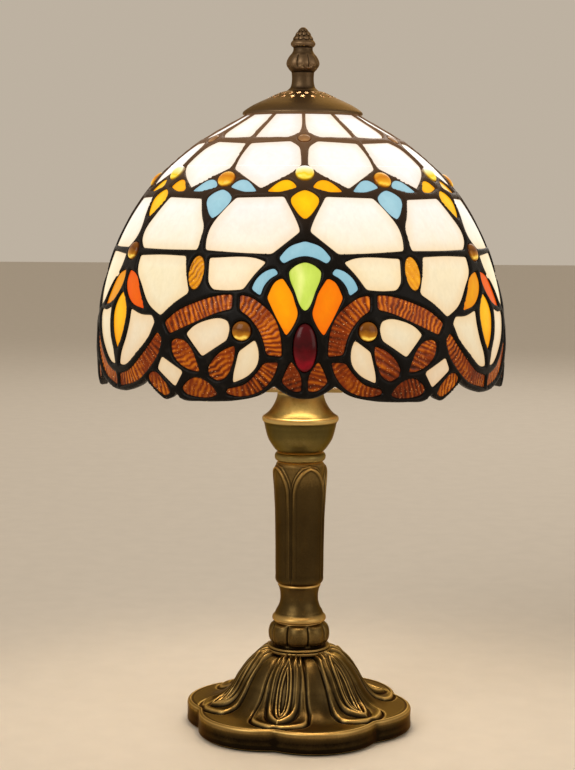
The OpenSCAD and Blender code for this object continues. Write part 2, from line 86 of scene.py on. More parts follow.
class Shader:
    """A node tree around one Principled shader, with short helpers for its pattern."""

    def __init__(self, name: str) -> None:
        """Makes the material and clears its tree.

        Args:
            name: The material's name.
        """
        self.material = bpy.data.materials.new(name)
        self.material.use_nodes = True
        self.tree = self.material.node_tree
        self.tree.nodes.clear()
        self.out = self.node("ShaderNodeOutputMaterial")
        self.bsdf = self.node("ShaderNodeBsdfPrincipled")
        self.link(self.bsdf.outputs["BSDF"], self.out.inputs["Surface"])
        self.coords = self.node("ShaderNodeTexCoord").outputs["Object"]

    def node(self, kind: str, **values: object) -> bpy.types.Node:
        """Adds a node and sets its properties."""
        made = self.tree.nodes.new(kind)
        for key, value in values.items():
            setattr(made, key, value)
        return made

    def link(self, a: bpy.types.NodeSocket, b: bpy.types.NodeSocket) -> None:
        """Joins two sockets."""
        self.tree.links.new(a, b)

    def set(self, **values: object) -> None:
        """Sets constants on the Principled shader, by socket name with _ for a space."""
        for key, value in values.items():
            self.bsdf.inputs[key.replace("_", " ")].default_value = value

    def noise(self, scale: float, detail: float = 3.0, stretch: Sequence[float] = (1, 1, 1),
              warp: float = 0.0) -> bpy.types.NodeSocket:
        """Noise over the piece's own coordinates.

        Args:
            scale: Bumps per metre.
            detail: Octaves.
            stretch: Scale along each axis.
            warp: Distortion of the noise.

        Returns:
            The noise value, about 0 to 1.
        """
        mapping = self.node("ShaderNodeMapping")
        mapping.inputs["Scale"].default_value = stretch
        self.link(self.coords, mapping.inputs["Vector"])
        made = self.node("ShaderNodeTexNoise")
        made.inputs["Scale"].default_value = scale
        made.inputs["Detail"].default_value = detail
        made.inputs["Distortion"].default_value = warp
        self.link(mapping.outputs["Vector"], made.inputs["Vector"])
        return made.outputs["Fac"]

    def attribute(self, name: str) -> bpy.types.NodeSocket:
        """A value stored on the piece's own points."""
        made = self.node("ShaderNodeAttribute", attribute_name=name)
        return made.outputs["Fac"]

    def axis(self, letter: str) -> bpy.types.NodeSocket:
        """One of the piece's own coordinates, in metres."""
        made = self.node("ShaderNodeSeparateXYZ")
        self.link(self.coords, made.inputs["Vector"])
        return made.outputs[letter]

    def math(self, operation: str, a: object, b: object = None) -> bpy.types.NodeSocket:
        """A maths node on sockets or plain numbers."""
        made = self.node("ShaderNodeMath", operation=operation)
        for i, value in enumerate((a, b)):
            if isinstance(value, bpy.types.NodeSocket):
                self.link(value, made.inputs[i])
            elif value is not None:
                made.inputs[i].default_value = value
        return made.outputs[0]

    def ramp(self, fac: bpy.types.NodeSocket, stops: Sequence[tuple[float, Sequence[float]]],
             ) -> bpy.types.NodeSocket:
        """A colour ramp.

        Args:
            fac: What runs along it.
            stops: Pairs of a place from 0 to 1 and a colour.

        Returns:
            The colour.
        """
        made = self.node("ShaderNodeValToRGB")
        band = made.color_ramp
        while len(band.elements) < len(stops):
            band.elements.new(0.5)
        for element, (place, colour) in zip(band.elements, stops):
            element.position = place
            element.color = (*colour[:3], 1)
        self.link(fac, made.inputs["Fac"])
        return made.outputs["Color"]

    def span(self, value: bpy.types.NodeSocket, low: float, high: float,
             ) -> bpy.types.NodeSocket:
        """A value brought from low..high to 0..1 and kept there."""
        made = self.node("ShaderNodeMapRange")
        made.inputs["From Min"].default_value = low
        made.inputs["From Max"].default_value = high
        self.link(value, made.inputs["Value"])
        return made.outputs["Result"]

    def mix(self, fac: object, a: object, b: object, blend: str = "MIX",
            ) -> bpy.types.NodeSocket:
        """Mixes two colours, each a socket or a plain colour."""
        made = self.node("ShaderNodeMix", data_type="RGBA", blend_type=blend)
        for socket, value in ((made.inputs[0], fac), (made.inputs[6], a), (made.inputs[7], b)):
            if isinstance(value, bpy.types.NodeSocket):
                self.link(value, socket)
            elif isinstance(value, (int, float)):
                socket.default_value = value
            else:
                socket.default_value = (*value[:3], 1)
        return made.outputs[2]

    def feed(self, socket: str, value: bpy.types.NodeSocket) -> None:
        """Feeds a pattern to one of the shader's sockets."""
        self.link(value, self.bsdf.inputs[socket])

    def bump(self, height: bpy.types.NodeSocket, depth: float, strength: float = 0.5) -> None:
        """Adds a bump of the given depth in metres."""
        made = self.node("ShaderNodeBump")
        made.inputs["Strength"].default_value = strength
        made.inputs["Distance"].default_value = depth
        self.link(height, made.inputs["Height"])
        self.link(made.outputs["Normal"], self.bsdf.inputs["Normal"])


@dataclass(frozen=True)
class AntiqueBronze:
    """Cast metal with a dark patina, rubbed golden where hands and cloths reach, and on some pieces
    painted light and shade by height.
    """

    name: str
    shadow: tuple[float, float, float]
    body: tuple[float, float, float]
    rubbed: tuple[float, float, float]
    roughness: float = 0.36

    def make(self) -> bpy.types.Material:
        """Builds the material from the stored attribute of worn patina, which on some pieces also holds
        painted light and shade by height.
        """
        s = Shader(self.name)
        s.set(Metallic=0.96, Coat_Weight=0.03, Coat_Roughness=0.3,
              Specular_Tint=(0.74, 0.55, 0.35, 1.0))
        patch = s.noise(70, 3, warp=0.3)
        fine = s.noise(1100, 2)
        wander = s.math("MULTIPLY", s.math("SUBTRACT", patch, 0.5), 0.22)
        grain = s.math("MULTIPLY", s.math("SUBTRACT", fine, 0.5), 0.10)
        # worn patina, plus painted light and shade by height on some pieces
        worn = s.math("ADD", s.math("ADD", s.attribute("rub_and_light"), wander), grain)
        colour = s.ramp(worn, [(0.10, self.shadow), (0.42, self.body), (0.88, self.rubbed)])
        s.feed("Base Color", colour)
        rough = s.math("ADD", s.math("MULTIPLY", patch, 0.18), self.roughness - 0.08)
        s.feed("Roughness", rough)
        s.bump(s.math("ADD", fine, s.math("MULTIPLY", patch, 2.0)), 0.00015, 0.3)
        return s.material


@dataclass(frozen=True)
class SolderPatina:
    """Soft solder with a black patina, and a painted glow towards the crown that stands in for the
    light of the glass beside it.
    """

    name: str = "solder_patina"
    low_z: float = 0.235
    high_z: float = 0.300

    def make(self) -> bpy.types.Material:
        """Builds the material."""
        s = Shader(self.name)
        s.set(Metallic=0.1, Emission_Strength=1.0, Specular_IOR_Level=0.14)
        # painted light: the solder is painted lighter brown and given a painted glow towards the crown,
        # where the glass beside it is brightest
        height = s.span(s.axis("Z"), self.low_z, self.high_z)
        mottled = s.noise(160, 4, warp=0.6)
        tint = s.ramp(height, [(0.0, (0.0035, 0.0025, 0.0018)), (0.5, (0.012, 0.007, 0.004)),
                               (1.0, (0.085, 0.048, 0.024))])
        pale = s.ramp(mottled, [(0.55, (0, 0, 0)), (0.9, (0.018, 0.015, 0.012))])
        s.feed("Base Color", s.mix(1.0, tint, pale, "ADD"))
        s.feed("Emission Color", s.ramp(height, [
            (0.25, (0, 0, 0)), (0.6, (0.030, 0.014, 0.006)), (1.0, (0.12, 0.060, 0.028))]))
        s.feed("Roughness", s.math("ADD", s.math("MULTIPLY", mottled, 0.25), 0.28))
        s.bump(mottled, 0.0004, 0.4)
        return s.material


@dataclass(frozen=True)
class LitGlass:
    """Streaky and seedy art glass with a painted glow that stands in for the bulb's light through it,
    painted brighter towards the crown and painted darker next to the came.
    """

    name: str
    # low, middle and high are the painted glow from the bottom up to the crown; rim is the painted
    # shade next to the came
    low: tuple[float, float, float]
    middle: tuple[float, float, float]
    high: tuple[float, float, float]
    rim: tuple[float, float, float]
    other: tuple[float, float, float]
    streak: tuple[float, float, float]
    streaks: float = 0.5
    low_z: float = 0.185
    high_z: float = 0.285

    def make(self) -> bpy.types.Material:
        """Builds the material; each sheet's tint moves its colour towards the other one."""
        s = Shader(self.name)
        s.set(Roughness=0.16, IOR=1.5, Coat_Weight=0.05, Coat_Roughness=0.06,
              Emission_Strength=1.0, Specular_IOR_Level=0.14)
        # painted light: brighter towards the crown, where the bulb is
        height = s.span(s.axis("Z"), self.low_z, self.high_z)
        base = s.ramp(height, [(0, self.low), (0.5, self.middle), (0.85, self.high)])
        tinted = s.mix(s.attribute("tint"), base, s.mix(1.0, base, self.other, "MULTIPLY"))
        cloud = s.noise(75, 4, (1, 1, 0.5), 1.4)
        veil = s.math("MULTIPLY", s.span(cloud, 0.42, 0.75), self.streaks)
        colour = s.mix(veil, tinted, s.mix(1.0, tinted, self.streak, "MULTIPLY"))
        # painted shade: darker towards the came at each pane's edge
        half = tuple((1 + c) / 2 for c in self.rim)
        shade = s.ramp(s.attribute("edge"), [(0, self.rim), (0.14, half), (0.8, (1, 1, 1))])
        seeds = s.ramp(s.noise(420, 3, (1, 1, 0.6), 0.8), [(0.3, (0.93,) * 3), (0.7, (1, 1, 1))])
        lit = s.mix(1.0, s.mix(1.0, colour, shade, "MULTIPLY"), seeds, "MULTIPLY")
        # painted light: the glass glows as if it were a lamp
        s.feed("Emission Color", lit)
        s.feed("Base Color", s.mix(0.88, colour, (0, 0, 0)))
        s.bump(s.noise(260, 2, (1, 1, 0.3), 1.0), 0.0004, 0.25)
        return s.material


@dataclass(frozen=True)
class RippleGlass:
    """Brown ripple glass with a painted glow of the bulb's light through it: dark troughs, glowing
    crests and bright specks, painted dimmer towards the bottom and painted darker next to the came.
    """

    name: str
    trough: tuple[float, float, float]
    body: tuple[float, float, float]
    crest: tuple[float, float, float]
    speck: tuple[float, float, float]
    low: float = 0.6
    low_z: float = 0.178
    high_z: float = 0.206

    def make(self) -> bpy.types.Material:
        """Builds the material; the ridge attribute runs from trough to crest."""
        s = Shader(self.name)
        s.set(Roughness=0.2, Coat_Weight=0.02, Coat_Roughness=0.08, Emission_Strength=1.0,
              Specular_IOR_Level=0.16)
        ridge = s.attribute("ridge")
        cloud = s.noise(150, 4, (1, 1, 0.8), 2.2)
        broad = s.noise(42, 2, warp=0.6)
        level = s.math("ADD", s.math("MULTIPLY", ridge, 0.50), s.math("MULTIPLY", cloud, 0.42))
        level = s.math("ADD", level, s.math("MULTIPLY", s.math("SUBTRACT", broad, 0.5), 0.7))
        lit = s.ramp(level, [(0.16, self.trough), (0.46, self.body), (0.86, self.crest)])
        # painted light: dimmer towards the bottom, away from the bulb
        height = s.span(s.axis("Z"), self.low_z, self.high_z)
        dim = s.ramp(height, [(0, (self.low,) * 3), (1, (1, 1, 1))])
        lit = s.mix(1.0, lit, dim, "MULTIPLY")
        specks = s.ramp(s.noise(1700, 2), [(0.67, (0, 0, 0)), (0.74, self.speck)])
        # painted shade: darker towards the came at each pane's edge
        shade = s.ramp(s.attribute("edge"), [(0, (0.35, 0.25, 0.2)), (0.13, (1, 1, 1))])
        s.feed("Emission Color", s.mix(1.0, s.mix(1.0, lit, specks, "ADD"), shade, "MULTIPLY"))
        s.feed("Base Color", s.mix(0.85, lit, (0.02, 0.004, 0.001)))
        s.bump(cloud, 0.0008, 0.4)
        return s.material


@dataclass(frozen=True)
class JewelGlass:
    """A pressed jewel with a painted glow of the bulb's light through it: painted dark where it faces
    the room, with a painted bright crescent low down and painted shade at its rim.
    """

    name: str
    dark: tuple[float, float, float]
    body: tuple[float, float, float]
    bright: tuple[float, float, float]
    top: tuple[float, float, float]

    def make(self) -> bpy.types.Material:
        """Builds the material; up runs from -1 at the jewel's foot to 1 at its top."""
        s = Shader(self.name)
        s.set(Roughness=0.16, IOR=1.5, Emission_Strength=1.0, Specular_IOR_Level=0.22)
        up = s.span(s.attribute("up"), -1.0, 1.0)
        wander = s.math("MULTIPLY", s.math("SUBTRACT", s.noise(300, 2), 0.5), 0.35)
        # painted light: the glow runs from a bright crescent low down to dark higher up
        lit = s.ramp(s.math("ADD", up, wander), [
            (0.02, self.body), (0.13, self.bright), (0.27, self.body), (0.55, self.dark),
            (0.92, self.top)])
        # painted shade: darker at the jewel's rim, next to the came
        rim = s.ramp(s.attribute("edge"), [(0.0, (0.22, 0.12, 0.05)), (0.30, (1, 1, 1))])
        s.feed("Emission Color", s.mix(1.0, lit, rim, "MULTIPLY"))
        s.feed("Base Color", s.mix(0.85, lit, (0, 0, 0)))
        return s.material


@dataclass(frozen=True)
class PlainFinish:
    """A fitting's finish with a little grain and wear."""

    name: str
    colour: tuple[float, float, float]
    metallic: float
    roughness: float
    grain: float = 600.0
    depth: float = 0.00008
    glow: float = 0.0
    wear: float = 0.28

    def make(self) -> bpy.types.Material:
        """Builds the material."""
        s = Shader(self.name)
        s.set(Metallic=self.metallic, Emission_Strength=self.glow)
        grain = s.noise(self.grain, 3)
        patch = s.noise(60, 3)
        darker = tuple(c * (1 - self.wear) for c in self.colour)
        colour = s.ramp(patch, [(0.3, darker), (0.7, self.colour)])
        s.feed("Base Color", colour)
        if self.glow:
            s.feed("Emission Color", colour)
        s.feed("Roughness", s.math("ADD", s.math("MULTIPLY", grain, 0.18), self.roughness - 0.09))
        s.bump(grain, self.depth, 0.4)
        return s.material


class Finishes:
    """Every material of the lamp, made once and named for its finish."""

    def __init__(self) -> None:
        """Builds them all."""
        bronze = ((0.008, 0.005, 0.002), (0.088, 0.056, 0.018), (0.62, 0.40, 0.13))
        gold = ((0.016, 0.012, 0.004), (0.15, 0.115, 0.034), (0.74, 0.54, 0.21))
        brown = ((0.02, 0.012, 0.007), (0.12, 0.078, 0.042), (0.26, 0.17, 0.095))
        white = (1.0, 1.0, 1.0)
        self.bronze = AntiqueBronze("antique_bronze", *bronze).make()
        self.gold = AntiqueBronze("golden_bronze", *gold, roughness=0.32).make()
        self.brown = AntiqueBronze("dark_bronze", *brown, roughness=0.42).make()
        self.solder = SolderPatina().make()
        self.cream = LitGlass("cream_glass", (0.76, 0.62, 0.41), (0.93, 0.80, 0.53), (1.0, 0.985, 0.93),
                              (0.95, 0.76, 0.57), (1.0, 0.965, 1.0), (1.0, 0.96, 0.88)).make()
        yellow = (1.0, 0.68, 0.005)
        self.yellow = LitGlass("yellow_glass", (0.86, 0.37, 0.004), yellow, yellow,
                               (1.0, 0.55, 0.25), (1.0, 0.78, 1.0), (1.0, 0.72, 0.8)).make()
        orange = (1.0, 0.43, 0.001)
        self.orange = LitGlass("orange_glass", (0.92, 0.27, 0.001), orange, orange,
                               (0.95, 0.55, 0.4), (0.95, 0.62, 1.0), (1.0, 0.75, 1.0)).make()
        amber = (0.86, 0.37, 0.004)
        self.flame = LitGlass("flame_glass", amber, amber, amber, (0.9, 0.55, 0.4),
                              (1.0, 0.36, 0.2), (1.0, 0.75, 1.0)).make()
        blue = (0.30, 0.56, 0.64)
        self.blue = LitGlass("blue_glass", (0.24, 0.44, 0.50), blue, (0.38, 0.64, 0.72),
                             (0.75, 0.8, 0.85), (1.0, 1.0, 1.0), (1.25, 1.12, 1.1), 0.7).make()
        green = (0.64, 0.80, 0.12)
        self.green = LitGlass("green_glass", green, green, green, (0.7, 0.72, 0.4), white,
                              (1.5, 1.22, 2.6), 0.9).make()
        self.ruby = JewelGlass("ruby_glass", (0.035, 0.0, 0.001), (0.10, 0.0, 0.003),
                               (0.20, 0.0, 0.006), (0.07, 0.0, 0.002)).make()
        self.ripple = RippleGlass("ripple_glass", (0.012, 0.001, 0.0005), (0.22, 0.028, 0.001),
                                  (0.84, 0.22, 0.006), (0.9, 0.5, 0.2)).make()
        self.bright_ripple = RippleGlass("bright_ripple_glass", (0.09, 0.014, 0.001),
                                         (0.66, 0.23, 0.003), (0.95, 0.42, 0.008),
                                         (1.0, 0.7, 0.3), 1.0).make()
        self.amber = JewelGlass("amber_jewel", (0.62, 0.20, 0.006), (0.80, 0.34, 0.012),
                                (1.0, 0.62, 0.05), (0.85, 0.42, 0.03)).make()
        self.dark_amber = JewelGlass("dark_amber_jewel", (0.13, 0.035, 0.002),
                                     (0.42, 0.15, 0.006), (1.0, 0.66, 0.10),
                                     (0.22, 0.07, 0.004)).make()
        self.crown_amber = JewelGlass("crown_jewel", (0.24, 0.11, 0.035), (0.30, 0.14, 0.05),
                                      (0.40, 0.20, 0.07), (0.42, 0.22, 0.09)).make()
        self.honey = JewelGlass("honey_jewel", (1.0, 0.86, 0.35), (1.0, 0.62, 0.01),
                                (1.0, 0.80, 0.10), (1.0, 1.0, 0.95)).make()
        self.plain = {
            "brass": PlainFinish("plain_brass", (0.62, 0.44, 0.17), 1.0, 0.32).make(),
            "steel": PlainFinish("zinc_steel", (0.55, 0.56, 0.58), 1.0, 0.38).make(),
            "nickel": PlainFinish("nickel_plate", (0.66, 0.65, 0.62), 1.0, 0.22).make(),
            "felt": PlainFinish("green_felt", (0.02, 0.035, 0.022), 0.0, 0.95, 1800, 0.0006).make(),
            "black_rubber": PlainFinish("black_rubber", (0.012, 0.012, 0.012), 0.0, 0.6).make(),
            "porcelain": PlainFinish("glazed_porcelain", (0.78, 0.76, 0.70), 0.0, 0.2).make(),
            "frosted_glass": PlainFinish("frosted_bulb", (1.0, 0.80, 0.52), 0.0, 0.4,
                                         glow=14.0).make(),
        }


# ---------------------------------------------------------------------------
# Mesh helpers
# ---------------------------------------------------------------------------


def new_piece(name: str, verts: Iterable[Sequence[float]], faces: Sequence[Sequence[int]],
              material: bpy.types.Material, smooth: bool = True) -> bpy.types.Object:
    """Makes a mesh object at the origin.

    Args:
        name: The piece's name.
        verts: Points in millimetres.
        faces: Corner lists.
        material: Its finish.
        smooth: Smooth shading.

    Returns:
        The linked object.
    """
    mesh = bpy.data.meshes.new(name)
    mesh.from_pydata([tuple(c * MM for c in v) for v in verts], [], [tuple(f) for f in faces])
    mesh.materials.append(material)
    mesh.polygons.foreach_set("use_smooth", [smooth] * len(mesh.polygons))
    mesh.update()
    obj = bpy.data.objects.new(name, mesh)
    bpy.context.scene.collection.objects.link(obj)
    return obj


def store(obj: bpy.types.Object, name: str, values: Sequence[float]) -> None:
    """Stores one number per point on a piece."""
    data = obj.data.attributes.new(name, "FLOAT", "POINT")
    data.data.foreach_set("value", np.asarray(values, dtype=np.float32))


def weld(obj: bpy.types.Object, distance: float = 1e-6) -> None:
    """Merges doubled points and turns every face outwards."""
    bm = bmesh.new()
    bm.from_mesh(obj.data)
    bmesh.ops.remove_doubles(bm, verts=bm.verts, dist=distance)
    bmesh.ops.recalc_face_normals(bm, faces=bm.faces)
    bm.to_mesh(obj.data)
    bm.free()
    obj.data.update()


def rub_edges(obj: bpy.types.Object, reach: int = 3, gain: float = 1.0, lift: float = 0.4,
              wear_and_light: Callable[[np.ndarray], np.ndarray] | None = None) -> None:
    """Stores the worn-patina attribute, high on convex ridges and low in hollows, plus painted light
    and shade by place.

    Args:
        obj: The piece.
        reach: Smoothing passes.
        gain: How strongly curvature counts.
        lift: The value on a flat face.
        wear_and_light: What to add at each place in millimetres: wear, and painted light and shade.
    """
    mesh = obj.data
    count = len(mesh.vertices)
    co = np.empty(count * 3)
    mesh.vertices.foreach_get("co", co)
    co = co.reshape(-1, 3)
    normals = np.array([v.normal for v in mesh.vertices])
    edges = np.empty(len(mesh.edges) * 2, dtype=np.int64)
    mesh.edges.foreach_get("vertices", edges)
    edges = edges.reshape(-1, 2)
    ends = np.concatenate([edges, edges[:, ::-1]])
    degree = np.maximum(np.bincount(ends[:, 0], minlength=count), 1)

    def spread(values: np.ndarray) -> np.ndarray:
        """The mean over each point's neighbours."""
        columns = [np.bincount(ends[:, 0], weights=c[ends[:, 1]], minlength=count) / degree
                   for c in np.atleast_2d(values.T)]
        return np.array(columns).T.squeeze()

    smooth = co.copy()
    for _ in range(reach):
        smooth = 0.5 * smooth + 0.5 * spread(smooth)
    convex = np.einsum("ij,ij->i", co - smooth, normals)
    convex = 0.5 * convex + 0.5 * spread(convex)
    scale = np.percentile(np.abs(convex), 92) + 1e-9
    # wear and painted light and shade, by place
    extra = wear_and_light(co / MM) if wear_and_light else 0.0
    store(obj, "rub_and_light", np.clip(lift + gain * 0.5 * convex / scale + extra, 0, 1))


def catmull(points: Sequence[Point], closed: bool, per_span: int, corner: float = 38.0,
            ) -> list[Point]:
    """A smooth curve through points that stays sharp at strong corners.

    Args:
        points: The points it passes.
        closed: Whether it joins up.
        per_span: Steps between neighbours.
        corner: The turn in degrees past which a point stays sharp.

    Returns:
        The curve's points.
    """
    p = np.asarray(points, dtype=float)
    n = len(p)
    out: list[Point] = []
    spans = n if closed else n - 1

    def tangent(i: int, ahead: np.ndarray) -> np.ndarray:
        """The tangent at point i, for the span whose direction is ahead."""
        if not closed and i in (0, n - 1):
            return ahead
        back = p[i] - p[i - 1]
        front = p[(i + 1) % n] - p[i]
        lengths = np.linalg.norm(back), np.linalg.norm(front)
        if min(lengths) < 1e-9:
            return ahead
        turn = np.degrees(np.arccos(np.clip(back @ front / lengths[0] / lengths[1], -1, 1)))
        if turn > corner:
            return ahead
        mean = back / lengths[0] + front / lengths[1]
        return mean / np.linalg.norm(mean) * np.linalg.norm(ahead)

    for i in range(spans):
        j = (i + 1) % n
        ahead = p[j] - p[i]
        a, b = tangent(i, ahead), tangent(j, ahead)
        for t in np.arange(per_span) / per_span:
            h = (2 * t**3 - 3 * t**2 + 1, t**3 - 2 * t**2 + t, -2 * t**3 + 3 * t**2, t**3 - t**2)
            out.append(tuple(h[0] * p[i] + h[1] * a + h[2] * p[j] + h[3] * b))
    if not closed:
        out.append(tuple(p[-1]))
    return out


def spaced(points: Sequence[Point], step: float, closed: bool) -> np.ndarray:
    """The same curve with points about one step apart."""
    p = np.asarray(points, dtype=float)
    if closed:
        p = np.vstack([p, p[:1]])
    along = np.concatenate([[0], np.cumsum(np.linalg.norm(np.diff(p, axis=0), axis=1))])
    count = max(4, int(round(along[-1] / step)))
    at = np.linspace(0, along[-1], count + 1)
    out = np.stack([np.interp(at, along, p[:, k]) for k in (0, 1)], axis=1)
    return out[:-1] if closed else out


def within(points: np.ndarray, loop: np.ndarray) -> np.ndarray:
    """Which points lie inside a closed loop, by the even-odd rule."""
    x, y = points[:, 0], points[:, 1]
    hit = np.zeros(len(points), dtype=bool)
    low, high = loop.min(axis=0), loop.max(axis=0)
    near = np.nonzero((x >= low[0]) & (x <= high[0]) & (y >= low[1]) & (y <= high[1]))[0]
    xs, ys = x[near], y[near]
    inside = np.zeros(len(near), dtype=bool)
    for (x1, y1), (x2, y2) in zip(loop, np.roll(loop, -1, axis=0)):
        if y1 == y2:
            continue
        crosses = ((y1 > ys) != (y2 > ys)) & (xs < (x2 - x1) * (ys - y1) / (y2 - y1) + x1)
        inside ^= crosses
    hit[near] = inside
    return hit


def tree_of(points: np.ndarray) -> kdtree.KDTree:
    """A search tree over flat or spatial points, by their place in the array."""
    tree = kdtree.KDTree(len(points))
    for i, p in enumerate(points):
        tree.insert(p if len(p) == 3 else (*p, 0), i)
    tree.balance()
    return tree


def fill_sheet(outline: np.ndarray, openings: Sequence[np.ndarray], free: np.ndarray,
               ) -> tuple[np.ndarray, np.ndarray]:
    """Fills a flat outline with triangles that keep its edges and leave its openings.

    Args:
        outline: The closed outer loop.
        openings: Closed loops inside it that stay empty.
        free: Points between the loops.

    Returns:
        The triangles, and the points that they use.
    """
    loops = [outline, *openings]
    verts = [Vector(p) for loop in loops for p in loop]
    edges, start = [], 0
    for loop in loops:
        n = len(loop)
        edges += [(start + i, start + (i + 1) % n) for i in range(n)]
        start += n
    verts += [Vector(p) for p in free]
    made = geometry.delaunay_2d_cdt(verts, edges, [], 0, 1e-9)
    points = np.array([tuple(v) for v in made[0]])
    tris = np.array([f for f in made[2] if len(f) == 3])
    centre = points[tris].mean(axis=1)
    keep = within(centre, outline)
    for loop in openings:
        keep &= ~within(centre, loop)
    tris = tris[keep]
    used = np.unique(tris)
    order = np.full(len(points), -1)
    order[used] = np.arange(len(used))
    return order[tris], points[used]


class RingArray:
    """A Geometry Nodes tree that repeats a sector round the lamp's axis."""

    def __init__(self) -> None:
        """Builds the tree with inputs for the count and the finish."""
        tree = bpy.data.node_groups.new("ring_array", "GeometryNodeTree")
        face = tree.interface
        face.new_socket("Geometry", in_out="INPUT", socket_type="NodeSocketGeometry")
        self.count = face.new_socket("Count", in_out="INPUT", socket_type="NodeSocketInt")
        self.finish = face.new_socket("Finish", in_out="INPUT", socket_type="NodeSocketMaterial")
        face.new_socket("Geometry", in_out="OUTPUT", socket_type="NodeSocketGeometry")
        node = tree.nodes.new
        link = tree.links.new
        given, result = node("NodeGroupInput"), node("NodeGroupOutput")
        line = node("GeometryNodeMeshLine")
        line.mode = "OFFSET"
        line.inputs["Offset"].default_value = (0, 0, 0)
        index = node("GeometryNodeInputIndex")
        step = node("ShaderNodeMath")
        step.operation = "DIVIDE"
        step.inputs[0].default_value = TURN
        angle = node("ShaderNodeMath")
        angle.operation = "MULTIPLY"
        spin = node("ShaderNodeCombineXYZ")
        place = node("GeometryNodeInstanceOnPoints")
        real = node("GeometryNodeRealizeInstances")
        dress = node("GeometryNodeSetMaterial")
        link(given.outputs["Count"], line.inputs["Count"])
        link(given.outputs["Count"], step.inputs[1])
        link(index.outputs[0], angle.inputs[0])
        link(step.outputs[0], angle.inputs[1])
        link(angle.outputs[0], spin.inputs["Z"])
        link(line.outputs["Mesh"], place.inputs["Points"])
        link(given.outputs["Geometry"], place.inputs["Instance"])
        link(spin.outputs["Vector"], place.inputs["Rotation"])
        link(place.outputs["Instances"], real.inputs["Geometry"])
        link(real.outputs["Geometry"], dress.inputs["Geometry"])
        link(given.outputs["Finish"], dress.inputs["Material"])
        link(dress.outputs["Geometry"], result.inputs["Geometry"])
        self.tree = tree

    def spread(self, sector: bpy.types.Object, count: int) -> bpy.types.Object:
        """Repeats a sector and returns the plain mesh object that replaces it.

        Args:
            sector: The object to repeat, which is removed.
            count: Copies in a full turn.

        Returns:
            The finished object, with the sector's name and material.
        """
        name, material = sector.name, sector.data.materials[0]
        modifier = sector.modifiers.new("Ring array", "NODES")
        modifier.node_group = self.tree
        modifier[self.count.identifier] = count
        modifier[self.finish.identifier] = material
        graph = bpy.context.evaluated_depsgraph_get()
        mesh = bpy.data.meshes.new_from_object(sector.evaluated_get(graph))
        sector.modifiers.clear()
        old = sector.data
        bpy.data.objects.remove(sector)
        bpy.data.meshes.remove(old)
        mesh.name = name
        obj = bpy.data.objects.new(name, mesh)
        bpy.context.scene.collection.objects.link(obj)
        return obj


def finish_piece(obj: bpy.types.Object, body: Body, slot: str, *nodes: str) -> None:
    """Makes a finished piece ride on its body and stand for its frame nodes."""
    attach(obj, body.value)
    if nodes:
        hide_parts(*nodes)
    LOG.info("%s: %d faces on %s", obj.name, len(obj.data.polygons), body.value)


# ---------------------------------------------------------------------------
# The glass dome
# ---------------------------------------------------------------------------


@dataclass
class DomeChart:
    """A conformal chart of the dome: x is the turn, and one step is one radius in size."""

    radius: float = 102.0
    rise: float = 116.0
    middle_z: float = 195.0
    turn: float = 1.0
    crown_r: tuple[float, ...] = (25, 28.5, 32, 36, 40, 46, 52)
    crown_lift: tuple[float, ...] = (3.2, 2.4, 1.6, 0.9, 0.45, 0.15, 0)

    def __post_init__(self) -> None:
        """Tabulates the chart's height against the rise angle."""
        self.table_u = np.radians(np.linspace(-30, 80, 2201))
        arc = np.hypot(self.radius * np.sin(self.table_u), self.rise * np.cos(self.table_u))
        rate = arc / (self.radius * np.cos(self.table_u))
        steps = np.diff(self.table_u) * (rate[1:] + rate[:-1]) / 2
        self.table_y = np.concatenate([[0], np.cumsum(steps)])
        self.table_y -= np.interp(0, self.table_u, self.table_y)

    def chart(self, places: Sequence[Point]) -> np.ndarray:
        """Chart points of [turn, rise] places in degrees."""
        p = np.radians(np.asarray(places, dtype=float))
        return np.stack([p[:, 0], np.interp(p[:, 1], self.table_u, self.table_y)], axis=1)

    def scale(self, y: np.ndarray | float) -> np.ndarray | float:
        """Millimetres on the dome for one unit of the chart, at a chart height."""
        return self.radius * np.cos(np.interp(y, self.table_y, self.table_u))

    def surface(self, points: np.ndarray, lift: np.ndarray | float) -> np.ndarray:
        """Places in space, in millimetres.

        Args:
            points: Chart points.
            lift: Distance outwards from the dome.

        Returns:
            An array of places.
        """
        lon = points[:, 0] + math.radians(self.turn)
        u = np.interp(points[:, 1], self.table_y, self.table_u)
        out = np.stack([np.cos(u) * np.sin(lon), -np.cos(u) * np.cos(lon)], axis=1)
        normal = np.stack([np.cos(u) / self.radius, np.sin(u) / self.rise], axis=1)
        normal /= np.linalg.norm(normal, axis=1)[:, None]
        side = np.stack([np.sin(lon), -np.cos(lon)], axis=1)
        lift = np.broadcast_to(lift, len(points))
        xy = out * self.radius + side * (normal[:, 0] * lift)[:, None]
        straight = np.interp(self.radius * np.cos(u), self.crown_r, self.crown_lift)
        z = self.middle_z + self.rise * np.sin(u) + normal[:, 1] * lift + straight
        return np.column_stack([xy, z])


